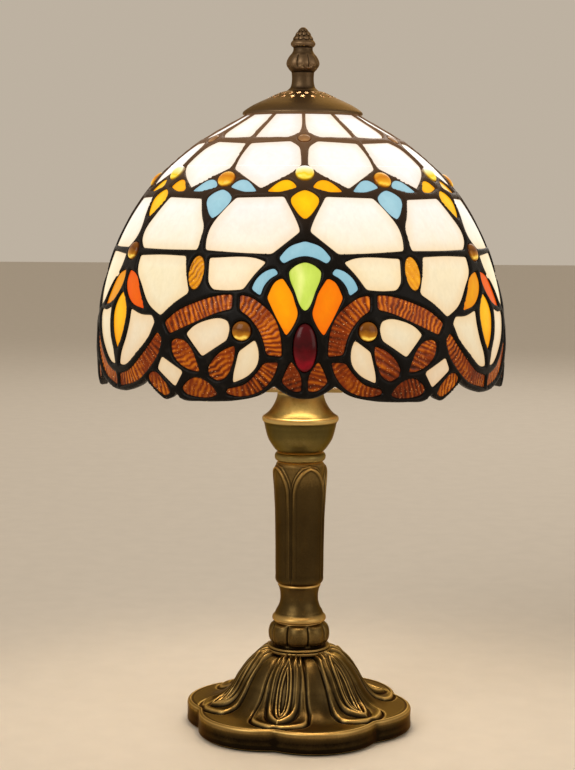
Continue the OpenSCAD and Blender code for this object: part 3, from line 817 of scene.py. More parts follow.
@dataclass
class Pane:
    """One glass outline on the dome, in degrees of turn and rise."""

    points: list[Point]
    edge: Edge = Edge.POINTED
    far: list[Point] = field(default_factory=list)
    size: Point = (0.0, 0.0)
    ridge_angle: float = 0.0

    def outline(self, chart: DomeChart) -> np.ndarray:
        """The smooth closed outline in the chart, with softened corners."""
        if self.edge is Edge.OVAL:
            centre = chart.chart(self.points)[0]
            scale = float(chart.scale(centre[1]))
            turn = np.linspace(0, TURN, 48, endpoint=False)
            return centre + np.stack([self.size[0] * np.cos(turn),
                                      self.size[1] * np.sin(turn)], axis=1) / scale
        raw = self.points + (self.far[::-1] if self.edge is Edge.STRIP else [])
        loop = chart.chart(raw)
        scale = float(chart.scale(loop[:, 1].mean()))
        loop = spaced(catmull(loop * scale, True, 10), 0.7, True)
        for _ in range(3):
            loop = 0.5 * loop + 0.25 * (np.roll(loop, 1, axis=0) + np.roll(loop, -1, axis=0))
        area = np.sum(loop[:, 0] * np.roll(loop[:, 1], -1) - loop[:, 1] * np.roll(loop[:, 0], -1))
        return (loop if area > 0 else loop[::-1]) / scale

    def mirrored(self, about: float = 0.0) -> "Pane":
        """The pane's mirror image about a turn in degrees."""
        flip = [(2 * about - x, y) for x, y in self.points]
        far = [(2 * about - x, y) for x, y in self.far]
        return Pane(flip, self.edge, far, self.size, -self.ridge_angle)

    def moved(self, turn: float) -> "Pane":
        """The pane moved round by a turn in degrees."""
        return Pane([(x + turn, y) for x, y in self.points], self.edge,
                    [(x + turn, y) for x, y in self.far], self.size, self.ridge_angle)


def strip(near: list[Point], far: list[Point]) -> Pane:
    """A curved strip between two long edges."""
    return Pane(near, Edge.STRIP, far)


def pane(*points: Point, ridges: float = 0.0) -> Pane:
    """A pane with a cut outline."""
    return Pane(list(points), ridge_angle=ridges)


def oval(at: Point, half: Point, ridges: float = 0.0) -> Pane:
    """An elliptical pane of the given half sizes in millimetres."""
    return Pane([at], Edge.OVAL, [], half, ridges)


@dataclass
class GlassPattern:
    """The shade's pattern: fields, flowers, fans, scrolls and lilies."""

    crown: Pane = field(default_factory=lambda: pane(
        (1.8, 75.2), (1.9, 66), (3.4, 63.4), (9, 61.4), (28.6, 61.4), (28.1, 75.2)))
    shoulder: Pane = field(default_factory=lambda: pane(
        (28.4, 58.9), (7, 59.8), (2.6, 57.2), (1.7, 54), (1.4, 49.9), (4, 48), (15.5, 42.2),
        (20.6, 44.8), (28.9, 48.6), (29.3, 53)))
    side_petal: Pane = field(default_factory=lambda: pane(
        (2.7, 42.6), (4.2, 44.2), (6, 45), (8.2, 44.8), (10, 43.9), (13.2, 41.3), (9, 41.2),
        (5.5, 41.9)))
    drop_petal: Pane = field(default_factory=lambda: pane(
        (0, 41.9), (2.6, 41), (4.7, 39.5), (4.5, 38), (3.3, 36.4), (1.8, 34.7), (0, 33.4),
        (-1.8, 34.7), (-3.3, 36.4), (-4.5, 38), (-4.7, 39.5), (-2.6, 41)))
    upper_a: Pane = field(default_factory=lambda: pane(
        (7, 39.8), (23.6, 39.4), (26.5, 36.2), (29.6, 31.6), (30.1, 28.6), (29.6, 25.4),
        (18, 24.9), (9.4, 24.7), (1.5, 30.3), (2.3, 32.4)))
    upper_b: Pane = field(default_factory=lambda: pane(
        (37.2, 39), (53.6, 39.4), (56.4, 34.6), (58.7, 30), (58, 27.6), (55.3, 25.4),
        (44, 25.3), (32.3, 25.4), (32.2, 28), (32.3, 31.2), (34.2, 34)))
    lower_a: Pane = field(default_factory=lambda: pane(
        (27.7, 23.5), (14.3, 23.7), (10.8, 22.7), (13.8, 19.8), (16.6, 16.3), (21, 16),
        (25.2, 16.1), (26.7, 17.6), (27.3, 20.5)))
    lower_b: Pane = field(default_factory=lambda: pane(
        (55.4, 23.5), (45, 23.9), (35.8, 23.8), (34.6, 20), (32.6, 15.2), (37, 12.7),
        (41.4, 9.6), (46.4, 12), (51, 16.4), (54.8, 20)))
    oval: Pane = field(default_factory=lambda: oval((31.2, 20), (4.0, 7.9), 35.0))
    arch: Pane = field(default_factory=lambda: strip(
        [(-7.3, 23.7), (-4.4, 26.5), (0, 27.9), (4.4, 26.5), (7.3, 23.7)],
        [(-6.0, 22.4), (-3.2, 23.7), (0, 24.3), (3.2, 23.7), (6.0, 22.4)]))
    wing: Pane = field(default_factory=lambda: strip(
        [(14.3, 16.4), (13.2, 18.6), (10.7, 20.6), (8.3, 21.3)],
        [(11.8, 14.9), (11.1, 17), (9.4, 18.9), (7.2, 20)]))
    green: Pane = field(default_factory=lambda: pane(
        (0, 22.8), (2.3, 22.1), (4.4, 20.6), (4.0, 18.6), (2.8, 16.2), (0.9, 12.2), (0, 11.5),
        (-0.9, 12.2), (-2.8, 16.2), (-4.0, 18.6), (-4.4, 20.6), (-2.3, 22.1)))
    fan_petal: Pane = field(default_factory=lambda: pane(
        (6, 19), (7.9, 18.2), (10, 14.5), (7.6, 10.4), (4.8, 6.0), (3.2, 8), (1.9, 11),
        (2.6, 13.2), (3.4, 15.4)))
    foot: Pane = field(default_factory=lambda: pane(
        (3.4, 0.4), (4.7, -1.7), (5.9, -4.3), (3.4, -6.2), (0.9, -6.5), (1.0, -3.2), ridges=80))
    top_band: Pane = field(default_factory=lambda: strip(
        [(39.6, 8.2), (35.3, 11), (30, 13), (25, 14.4), (22, 14.9), (19.4, 15)],
        [(37.7, 5.6), (33.2, 7.3), (28.6, 9.0), (24.6, 10.5), (21.9, 11.3), (19.4, 11.8)]))
    left_band: Pane = field(default_factory=lambda: strip(
        [(17.3, 15), (14.4, 14.5), (11.5, 13), (8.8, 11), (7.1, 8.5), (6.1, 5), (5.9, 1.3)],
        [(17.1, 11.5), (15, 10.4), (13.3, 8.9), (12.1, 7.5), (11.2, 6.1), (10.3, 3.8),
         (9.8, 1.8)]))
    low_band: Pane = field(default_factory=lambda: strip(
        [(6.7, 0.1), (7.9, -3), (10.7, -6), (14.4, -7.5), (17.5, -7.8), (20.6, -7.2)],
        [(10.4, -0.1), (11.3, -1.3), (13.3, -3.4), (15.4, -5), (17.6, -5.7), (20.2, -6.2)]))
    low_leaf: Pane = field(default_factory=lambda: pane(
        (23, -7.6), (24.3, -5.9), (26.8, -4.4), (29.5, -4), (31.8, -5), (33.6, -6.6),
        (32.4, -7.9), (29, -8.4), (25, -8.3), ridges=15))
    tail_leaf: Pane = field(default_factory=lambda: pane(
        (45.4, -4.5), (44.2, -3.5), (42.2, -3.5), (40.2, -4.8), (38.2, -6.7), (37.6, -8),
        (39.5, -8.8), (41.6, -7.9), (44.8, -5.8), ridges=-10))
    tall_leaf: Pane = field(default_factory=lambda: pane(
        (36.9, 3.8), (35.5, 4.6), (33, 4.3), (31.3, 3.3), (30, 1.8), (27.9, -2.6),
        (30.8, -2.3), (34.3, -0.9), (36.4, 1.3), ridges=70))
    inner_leaf: Pane = field(default_factory=lambda: pane(
        (18.1, 3.6), (21, 2.6), (23.9, 0.5), (25.5, -1.7), (25.1, -3.5), (22.6, -4.5),
        (20.5, -3.5), (19, -1.2), (18.2, 1.2), ridges=60))
    inner_field: Pane = field(default_factory=lambda: pane(
        (32.2, 5.8), (30, 7.6), (26, 9.1), (22.5, 9.6), (20.3, 9.1), (19.7, 7.4), (20.3, 4.8),
        (27.2, 0.9)))
    crescent: Pane = field(default_factory=lambda: pane(
        (12.8, 5), (11.9, 2.8), (12.1, -0.4), (14.4, -2.9), (18.6, -4.8), (18.4, -2.8),
        (17.8, -0.6), (17, 2.3)))
    small_field: Pane = field(default_factory=lambda: pane(
        (40.1, 0.3), (33.1, -2.8), (35.8, -6.4), (41.7, -2.6)))
    lily_side: Pane = field(default_factory=lambda: pane(
        (58.7, 19.8), (59.2, 17.2), (57.8, 14.7), (54, 12), (48, 10.8), (50, 13.4),
        (54.6, 18.6)))
    lily_centre: Pane = field(default_factory=lambda: pane(
        (60, 14.5), (62.3, 12.6), (63.9, 9.5), (63.6, 7), (62.4, 4), (60, 0.9), (57.6, 4),
        (56.4, 7), (56.1, 9.5), (57.7, 12.6)))
    lily_field: Pane = field(default_factory=lambda: pane(
        (54, 10.6), (49, 9.5), (44.6, 9.5), (43.3, 8.2), (45.2, 4.8), (50, 0.8), (56, -2.6),
        (58.8, -2.7), (57.9, 0), (55.6, 3.6), (54.2, 7.5)))
    lily_band: Pane = field(default_factory=lambda: strip(
        [(42, 5.8), (44.5, 3.2), (48.6, -0.3), (54, -3.7), (59.2, -5)],
        [(40.2, 4.2), (41.4, 1), (44.5, -2.3), (50, -5.8), (59.2, -7.9)]))
    yellow_jewel: Point = (0.0, 47.0)
    blue_jewel: Point = (30.0, 44.9)
    scroll_jewel: Point = (16.3, 6.9)
    lily_jewel: Point = (60.0, 24.5)
    crown_jewel: Point = (0.0, 60.7)
    jewel_r: float = 4.2
    crown_jewel_r: float = 2.9
    rim: tuple[Point, ...] = (
        (0, -8.1), (2.5, -7.9), (5.5, -6.7), (7.8, -5.3), (11.5, -7.4), (18, -8.8),
        (22.7, -9.2), (28, -9.4), (34, -9.2), (35.7, -7.9), (37.6, -9.2), (39.5, -9.6),
        (42, -8.4), (44.8, -6.6), (46.3, -5.4), (49, -6.9), (52, -7.9), (56, -8.8), (60, -9))

    def half_sector(self, chart: DomeChart) -> list[np.ndarray]:
        """Every opening that lies in or crosses the turn from 0 to 60 degrees."""
        panes = [self.crown, self.crown.mirrored(30), self.shoulder, self.shoulder.mirrored(30),
                 self.side_petal, self.side_petal.mirrored(30), self.side_petal.moved(30),
                 self.side_petal.mirrored(0).moved(30), self.drop_petal,
                 self.drop_petal.moved(30), self.drop_petal.moved(60),
                 self.upper_a, self.upper_b, self.lower_a, self.lower_b, self.oval, self.arch,
                 self.wing, self.green, self.fan_petal, self.foot, self.top_band,
                 self.left_band, self.low_band, self.low_leaf, self.tail_leaf, self.tall_leaf,
                 self.inner_leaf, self.inner_field, self.crescent, self.small_field,
                 self.lily_side, self.lily_centre, self.lily_field, self.lily_band,
                 oval((0, 3.4), (5.1, 10.7))]
        jewels = [self.yellow_jewel, self.blue_jewel, (60.0, self.yellow_jewel[1]),
                  self.scroll_jewel, self.lily_jewel]
        panes += [oval(at, (self.jewel_r,) * 2) for at in jewels]
        panes += [oval((x, self.crown_jewel[1]), (self.crown_jewel_r,) * 2) for x in (0.0, 60.0)]
        return [p.outline(chart) for p in panes]


@dataclass
class Came:
    """The soldered came between the panes, as one bead of many branches."""

    pattern: GlassPattern
    chart: DomeChart
    grain: float = 0.85
    glass_face: float = -1.0
    thickness: float = 2.6
    bead: float = 1.05
    bead_reach: float = 1.7
    top_rise: float = 76.3

    def build(self, rings: RingArray, material: bpy.types.Material) -> bpy.types.Object:
        """Builds the half sector, mirrors it and repeats it round the dome.

        Args:
            rings: The tree that repeats sectors.
            material: The solder's finish.

        Returns:
            The whole network as one object.
        """
        chart = self.chart
        openings = self.pattern.half_sector(chart)
        rim = spaced(catmull(chart.chart(self.pattern.rim) * 100, False, 10, 60), 0.7, False) / 100
        top = float(chart.chart([(0, self.top_rise)])[0, 1])
        right = math.radians(60)
        rim[0, 0], rim[-1, 0] = 0.0, right

        def seam(x: float, low: float) -> np.ndarray:
            """Points up one edge of the sector, each a grain apart on the dome."""
            ys = [low]
            while ys[-1] < top:
                ys.append(ys[-1] + self.grain / float(chart.scale(ys[-1])))
            ys[-1] = top
            return np.array([(x, y) for y in ys])

        left_seam, right_seam = seam(0.0, rim[0, 1]), seam(right, rim[-1, 1])
        crown = np.array([(x, top) for x in np.linspace(0, right, 33)])
        domain = np.vstack([rim, right_seam[1:], crown[::-1][1:], left_seam[::-1][1:-1]])
        borders = np.vstack(openings + [rim, crown])
        tree = tree_of(chart.surface(borders, 0.0))
        free = self.free_points(domain, openings, tree, top, right)
        triangles, points = fill_sheet(domain, openings, free)
        points[:, 0] = np.where(np.abs(points[:, 0]) < 1e-7, 0.0, points[:, 0])
        places = chart.surface(points, 0.0)
        gap = np.array([tree.find(p)[2] for p in places])
        reach = np.clip(gap / self.bead_reach, 0, 1)
        crest = np.sqrt(1 - (1 - reach) ** 2)
        wobble = np.array([math.sin(7 * p[0] / 9 + 2 * math.sin(p[2] / 7)) *
                           math.cos(p[2] / 5.3) for p in places])
        outer = chart.surface(points, self.glass_face + crest * (self.bead + 0.07 * wobble))
        inner = chart.surface(points, self.glass_face - self.thickness - 0.6 * crest)
        seams = (np.abs(points[:, 0]) < 1e-6) | (np.abs(points[:, 0] - right) < 1e-6)
        verts, faces = shell(outer, inner, triangles, seams)
        sector = self.mirror(verts, faces, chart.turn)
        obj = rings.spread(new_piece("lead_came", *sector, material), 3)
        weld(obj, 2e-5)
        for polygon in obj.data.polygons:
            polygon.use_smooth = True
        return obj

    def free_points(self, domain: np.ndarray, openings: list[np.ndarray],
                    tree: kdtree.KDTree, top: float, right: float) -> np.ndarray:
        """Points of a triangular grid that lie in the came, clear of every border."""
        rows = []
        y, odd = domain[:, 1].min(), False
        while y < top:
            step = self.grain / float(self.chart.scale(y))
            xs = np.arange(step * (0.5 if odd else 1.0), right - 0.4 * step, step)
            rows.append(np.column_stack([xs, np.full(len(xs), y)]))
            y += step * 0.866
            odd = not odd
        grid = np.vstack(rows)
        keep = within(grid, domain)
        for loop in openings:
            keep &= ~within(grid, loop)
        grid = grid[keep]
        places = self.chart.surface(grid, 0.0)
        clear = np.array([tree.find(p)[2] > 0.42 * self.grain for p in places])
        return grid[clear]

    @staticmethod
    def mirror(verts: np.ndarray, faces: list[tuple[int, ...]], turn: float) -> Mesh3:
        """Adds the mirror image about the pattern's middle, with its faces turned round."""
        a = math.radians(turn)
        across = np.array([math.cos(a), math.sin(a), 0])
        flipped = verts - 2 * np.outer(verts @ across, across)
        n = len(verts)
        return (np.vstack([verts, flipped]),
                faces + [tuple(i + n for i in reversed(f)) for f in faces])


def shell(outer: np.ndarray, inner: np.ndarray, tris: np.ndarray,
          seams: np.ndarray | None = None) -> Mesh3:
    """A closed shell from a sheet's two faces.

    Args:
        outer: Outer points.
        inner: Inner points, one for each outer one.
        tris: Triangles of the sheet, anticlockwise seen from outside.
        seams: Which points lie where the sheet will be joined to its neighbour.

    Returns:
        Points and faces with walls along every border but the seams.
    """
    n = len(outer)
    faces = [tuple(int(i) for i in t) for t in tris]
    count: dict[tuple[int, int], int] = {}
    for a, b, c in faces:
        for e in ((a, b), (b, c), (c, a)):
            count[e] = 1
    joined = np.zeros(n, dtype=bool) if seams is None else seams
    walls = [(b, a, a + n, b + n) for a, b in count
             if (b, a) not in count and not (joined[a] and joined[b])]
    back = [(c + n, b + n, a + n) for a, b, c in faces]
    return np.vstack([outer, inner]), faces + back + walls


@dataclass
class GlassCutter:
    """Cuts panes of art glass to their outlines, with ripples where they are wanted."""

    chart: DomeChart
    face: float = -1.0
    thickness: float = 2.4
    grow: float = 0.35
    ridge_pitch: float = 2.3
    ridge_height: float = 0.34

    def sheet(self, one: Pane, grain: float, ripple: bool) -> tuple[Mesh3, np.ndarray, np.ndarray]:
        """One pane as a closed shell.

        Args:
            one: The pane.
            grain: Spacing of its inner points in millimetres.
            ripple: Whether it is ripple glass.

        Returns:
            Its points and faces, the edge values and the ridge values.
        """
        chart = self.chart
        loop = one.outline(chart)
        scale = float(chart.scale(loop[:, 1].mean()))
        ahead = np.roll(loop, -1, axis=0) - np.roll(loop, 1, axis=0)
        ahead /= np.linalg.norm(ahead, axis=1)[:, None] + 1e-12
        outline = loop + np.column_stack([ahead[:, 1], -ahead[:, 0]]) * self.grow / scale
        low, high = outline.min(axis=0), outline.max(axis=0)
        step = grain / scale
        xs = np.arange(low[0], high[0], step)
        ys = np.arange(low[1], high[1], step * 0.866)
        grid = np.array([(x + (i % 2) * step / 2, y) for i, y in enumerate(ys) for x in xs])
        grid = grid[within(grid, outline)]
        tree = tree_of(outline)
        gap = np.array([tree.find((*p, 0))[2] for p in grid]) * scale
        grid = grid[gap > 0.45 * min(grain, 1.2)]
        tris, points = fill_sheet(outline, [], grid)
        edge = np.array([tree.find((*p, 0))[2] for p in points]) * scale
        ridge = self.ridges(one, points, scale) if ripple else np.zeros(len(points))
        rise = self.ridge_height * (ridge - 0.6) if ripple else 0.0
        fade = np.clip(edge / 0.8, 0, 1)
        outer = chart.surface(points, self.face - 0.05 + rise * fade)
        inner = chart.surface(points, self.face - self.thickness)
        mesh = shell(outer, inner, tris)
        near = np.clip(edge / 7.0, 0, 1)
        return mesh, np.tile(near, 2), np.tile(ridge, 2)

    def ridges(self, one: Pane, points: np.ndarray, scale: float) -> np.ndarray:
        """Where each point lies on the ripples, from 0 in a trough to 1 on a crest."""
        if one.edge is Edge.STRIP:
            near, far = self.chart.chart(one.points), self.chart.chart(one.far)
            middle = spaced(catmull((near + far) / 2 * scale, False, 8), 0.5, False)
            tree = tree_of(middle)
            along = []
            for p in points * scale:
                _, i, _ = tree.find((*p, 0))
                j = min(max(i, 1), len(middle) - 2)
                way = middle[j + 1] - middle[j - 1]
                way /= np.linalg.norm(way)
                along.append(0.5 * i + float((p - middle[i]) @ way))
            s = np.array(along)
        else:
            a = math.radians(one.ridge_angle)
            s = points @ np.array([math.cos(a), math.sin(a)]) * scale
        x, y = points[:, 0] * scale, points[:, 1] * scale
        across = x * 0.9 + y * 1.3
        bent = s + 0.45 * np.sin(across / 2.9 + x / 7) + 0.16 * np.sin(across / 0.9 + s / 3)
        wave = 0.5 + 0.5 * np.sin(bent / self.ridge_pitch * TURN + 1.9 * np.sin(s / 5.3 + y / 9))
        calm = 0.55 + 0.45 * np.sin(x / 6.1 + 1.7 * np.sin(y / 7.7)) * np.cos(y / 5.2 - x / 11)
        return 0.5 + (wave ** 0.8 - 0.5) * np.clip(calm, 0.15, 1)

    def build(self, name: str, panes: list[Pane], rings: RingArray, copies: int,
              material: bpy.types.Material, grain: float = 3.0, ripple: bool = False,
              tint: Callable[[int], float] = lambda number: 0.0) -> bpy.types.Object:
        """Cuts all panes of one kind and repeats them round the dome.

        Args:
            name: The piece's name.
            panes: Its outlines in one sector.
            rings: The tree that repeats sectors.
            copies: Sectors in a turn.
            material: The glass.
            grain: Point spacing.
            ripple: Whether it is ripple glass.
            tint: Each pane's tint by its number.

        Returns:
            The finished object.
        """
        verts, faces, edges, ridges, tints, total = [], [], [], [], [], 0
        for number, one in enumerate(panes):
            (points, shape), edge, ridge = self.sheet(one, grain, ripple)
            tints.append(np.full(len(points), tint(number)))
            faces += [tuple(i + total for i in f) for f in shape]
            verts.append(points)
            edges.append(edge)
            ridges.append(ridge)
            total += len(points)
        sector = new_piece(name, np.vstack(verts), faces, material)
        store(sector, "edge", np.concatenate(edges))
        store(sector, "ridge", np.concatenate(ridges))
        store(sector, "tint", np.concatenate(tints))
        obj = rings.spread(sector, copies)
        sharpen(obj)
        return obj


def sharpen(obj: bpy.types.Object, angle: float = 50.0) -> None:
    """Marks edges sharper than the angle, so that smooth shading stops there."""
    bm = bmesh.new()
    bm.from_mesh(obj.data)
    limit = math.radians(angle)
    for edge in bm.edges:
        edge.smooth = not (len(edge.link_faces) == 2 and edge.calc_face_angle(0) > limit)
    bm.to_mesh(obj.data)
    bm.free()
    for polygon in obj.data.polygons:
        polygon.use_smooth = True


@dataclass
class JewelSetter:
    """Sets round and oval jewels with domed faces into the dome."""

    chart: DomeChart
    rounds: int = 32
    rows: int = 9
    foot: float = -2.6
    seat: float = -0.35

    def build(self, name: str, jewels: list[tuple[Point, Point, float]], rings: RingArray,
              copies: int, material: bpy.types.Material) -> bpy.types.Object:
        """Builds jewels of one kind.

        Args:
            name: The piece's name.
            jewels: Place, half sizes and height of each in one sector.
            rings: The tree that repeats sectors.
            copies: Sectors in a turn.
            material: The jewel's glass.

        Returns:
            The finished object.
        """
        verts, faces, ups, edges = [], [], [], []
        for at, half, height in jewels:
            start = len(verts)
            centre = self.chart.chart([at])[0]
            scale = float(self.chart.scale(centre[1]))
            rings_of = [(1.0, self.foot), (1.0, self.seat)]
            for i in range(1, self.rows + 1):
                a = i / self.rows * math.pi / 2
                rings_of.append((math.cos(a), self.seat + height * math.sin(a)))
            for part, lift in rings_of[:-1]:
                for k in range(self.rounds):
                    t = TURN * k / self.rounds
                    offset = np.array([half[0] * math.cos(t), half[1] * math.sin(t)]) * part
                    place = self.chart.surface((centre + offset / scale)[None], lift)[0]
                    verts.append(place)
                    ups.append(part * math.sin(t))
                    edges.append(1 - part ** 3)
            verts.append(self.chart.surface(centre[None], rings_of[-1][1])[0])
            verts.append(self.chart.surface(centre[None], self.foot)[0])
            ups += [0.0, 0.0]
            edges += [1.0, 1.0]
            n, rows = self.rounds, len(rings_of) - 1
            for r in range(rows - 1):
                for k in range(n):
                    a, b = start + r * n + k, start + r * n + (k + 1) % n
                    faces.append((a, b, b + n, a + n))
            last, pole = start + (rows - 1) * n, start + rows * n
            for k in range(n):
                faces.append((last + k, last + (k + 1) % n, pole))
                faces.append((start + (k + 1) % n, start + k, pole + 1))
        sector = new_piece(name, verts, faces, material)
        store(sector, "up", ups)
        store(sector, "edge", edges)
        obj = rings.spread(sector, copies)
        sharpen(obj, 70)
        return obj


@dataclass
class Shade:
    """The glass dome with its came, panes and jewels."""

    finishes: Finishes
    rings: RingArray
    pattern: GlassPattern = field(default_factory=GlassPattern)
    chart: DomeChart = field(default_factory=DomeChart)

    def build(self) -> None:
        """Builds every piece of the dome."""
        came = Came(self.pattern, self.chart).build(self.rings, self.finishes.solder)
        finish_piece(came, Body.SHADE, "came", "lead_network")
        self.panes()
        self.jewels()

    def panes(self) -> None:
        """Builds the cut glass, one piece for each kind."""
        p, f = self.pattern, self.finishes
        cutter = GlassCutter(self.chart)

        def both(*halves: Pane) -> list[Pane]:
            """Each pane with its mirror image."""
            return [one for half in halves for one in (half, half.mirrored())]

        def mottled(number: int) -> float:
            """A tint that differs from sheet to sheet."""
            return (0.15, 0.75, 0.45, 0.05, 0.95, 0.3)[number % 6]

        tints = {
            "fan_orange_petals": lambda number: 1.0 - number,
            "lily_petals": lambda number: float(number),
            "amber_petals": lambda number: (0.6, 0.0, 0.1)[number],
        }
        blue = [p.side_petal.moved(30), p.side_petal.mirrored().moved(30), p.drop_petal.moved(30)]
        plain = (
            ("crown_glass", both(p.crown), 6, f.cream, "cream_glass"),
            ("shoulder_glass", both(p.shoulder), 6, f.cream, "cream_glass"),
            ("amber_petals", both(p.side_petal) + [p.drop_petal], 6, f.yellow, "yellow_glass"),
            ("blue_petals", blue, 6, f.blue, "blue_glass"),
            ("upper_field_glass", both(p.upper_a, p.upper_b), 3, f.cream, "cream_glass"),
            ("lower_field_glass", both(p.lower_a, p.lower_b), 3, f.cream, "cream_glass"),
            ("fan_blue_glass", both(p.wing) + [p.arch], 3, f.blue, "blue_glass"),
            ("fan_green_drops", [p.green], 3, f.green, "green_glass"),
            ("fan_orange_petals", both(p.fan_petal), 3, f.orange, "orange_glass"),
            ("scroll_field_glass", both(p.inner_field, p.crescent, p.small_field), 3, f.cream,
             "cream_glass"),
            ("lily_petals", both(p.lily_side), 3, f.flame, "orange_glass"),
            ("lily_centres", [p.lily_centre], 3, f.yellow, "yellow_glass"),
            ("lily_field_glass", both(p.lily_field), 3, f.cream, "cream_glass"),
        )
        for name, panes, copies, glass, slot in plain:
            hues = tints.get(name, mottled)
            obj = cutter.build("pane_" + name, panes, self.rings, copies, glass, tint=hues)
            finish_piece(obj, Body.SHADE, slot, name)
        rippled = (
            ("ripple_ovals", both(p.oval)),
            ("fan_feet", both(p.foot)),
            ("scroll_bands", both(p.top_band, p.left_band, p.low_band)),
            ("scroll_leaves", both(p.low_leaf, p.tail_leaf, p.tall_leaf, p.inner_leaf)),
            ("lily_bands", both(p.lily_band)),
        )
        for name, panes in rippled:
            glass = f.bright_ripple if name == "ripple_ovals" else f.ripple
            obj = cutter.build("pane_" + name, panes, self.rings, 3, glass, 0.6, True)
            finish_piece(obj, Body.SHADE, "ripple_glass", name)

    def jewels(self) -> None:
        """Builds the pressed jewels and the ruby cabochons."""
        p, f = self.pattern, self.finishes
        setter = JewelSetter(self.chart)
        size = (p.jewel_r + 0.2,) * 2
        small = (p.crown_jewel_r + 0.15,) * 2
        left = (-p.scroll_jewel[0], p.scroll_jewel[1])
        sets = (
            ("crown_jewels", [(p.crown_jewel, small, 0.9)], 6, f.crown_amber, "amber_glass",
             ("crown_jewels",)),
            ("yellow_flower_jewels", [(p.yellow_jewel, size, 1.8)], 6, f.honey, "amber_glass",
             ("flower_jewels",)),
            ("blue_flower_jewels", [(p.blue_jewel, size, 1.8)], 6, f.amber, "amber_glass", ()),
            ("scroll_jewels", [(p.scroll_jewel, size, 1.8), (left, size, 1.8)], 3,
             f.dark_amber, "amber_glass", ("scroll_jewels",)),
            ("lily_jewels", [(p.lily_jewel, size, 1.8)], 3, f.dark_amber, "amber_glass",
             ("lily_jewels",)),
            ("ruby_cabochons", [((0.0, 3.4), (5.3, 10.9), 2.2)], 3, f.ruby, "ruby_glass",
             ("ruby_cabochons",)),
        )
        for name, jewels, copies, glass, slot, nodes in sets:
            obj = setter.build("set_" + name, jewels, self.rings, copies, glass)
            finish_piece(obj, Body.SHADE, slot, *nodes)


# ---------------------------------------------------------------------------
# Turned and cast metal
# ---------------------------------------------------------------------------

Relief = Callable[[np.ndarray, np.ndarray], np.ndarray]


def turned(name: str, profile: Sequence[Point], material: bpy.types.Material,
           relief: Relief | None = None, around: int = 96, step: float = 0.5,
           wear_and_light: Sequence[Point] = ((0.0, 0.0),), gain: float = 1.0) -> bpy.types.Object:
    """A closed turned piece with an optional cast relief.

    Args:
        name: The piece's name.
        profile: Radius and height pairs from its foot to its top.
        material: Its finish.
        relief: Added radius for arrays of angle from the front and height.
        around: Points in a turn.
        step: Spacing along the profile in millimetres.
        wear_and_light: Height and value pairs added to the worn patina on the ridges: wear, and painted
            light and shade by height.
        gain: How strongly ridges are worn.

    Returns:
        The finished object.
    """
    curve = spaced(catmull(profile, False, 12, 40), step, False)
    angle = np.arange(around) * TURN / around
    a, r = np.meshgrid(angle, curve[:, 0])
    z = np.repeat(curve[:, 1][:, None], around, axis=1)
    if relief is not None:
        r = np.maximum(r + relief(a, z), 0.05)
    verts = np.column_stack([(r * np.sin(a)).ravel(), (-r * np.cos(a)).ravel(), z.ravel()])
    rows = len(curve)
    faces = [(i * around + k, i * around + (k + 1) % around, (i + 1) * around + (k + 1) % around,
              (i + 1) * around + k) for i in range(rows - 1) for k in range(around)]
    foot, top = len(verts), len(verts) + 1
    verts = np.vstack([verts, [0, 0, curve[0, 1]], [0, 0, curve[-1, 1]]])
    for k in range(around):
        faces.append(((k + 1) % around, k, foot))
        last = (rows - 1) * around
        faces.append((last + k, last + (k + 1) % around, top))
    obj = new_piece(name, verts, faces, material)
    heights, wear = zip(*wear_and_light)
    rub_edges(obj, gain=gain, wear_and_light=lambda places: np.interp(places[:, 2], heights, wear))
    sharpen(obj, 55)
    return obj


def fold(angle: np.ndarray, centre: float, period: float) -> np.ndarray:
    """Degrees from the nearest of evenly spaced centres, both in degrees."""
    d = np.degrees(angle) - centre
    return d - period * np.round(d / period)


def bell(x: np.ndarray, width: float) -> np.ndarray:
    """A smooth bump of height 1 and the given half-width."""
    return np.exp(-(x / width) ** 2)


def step_up(x: np.ndarray, width: float) -> np.ndarray:
    """A smooth step from 0 to 1 over the given width."""
    t = np.clip(x / width, 0, 1)
    return t * t * (3 - 2 * t)


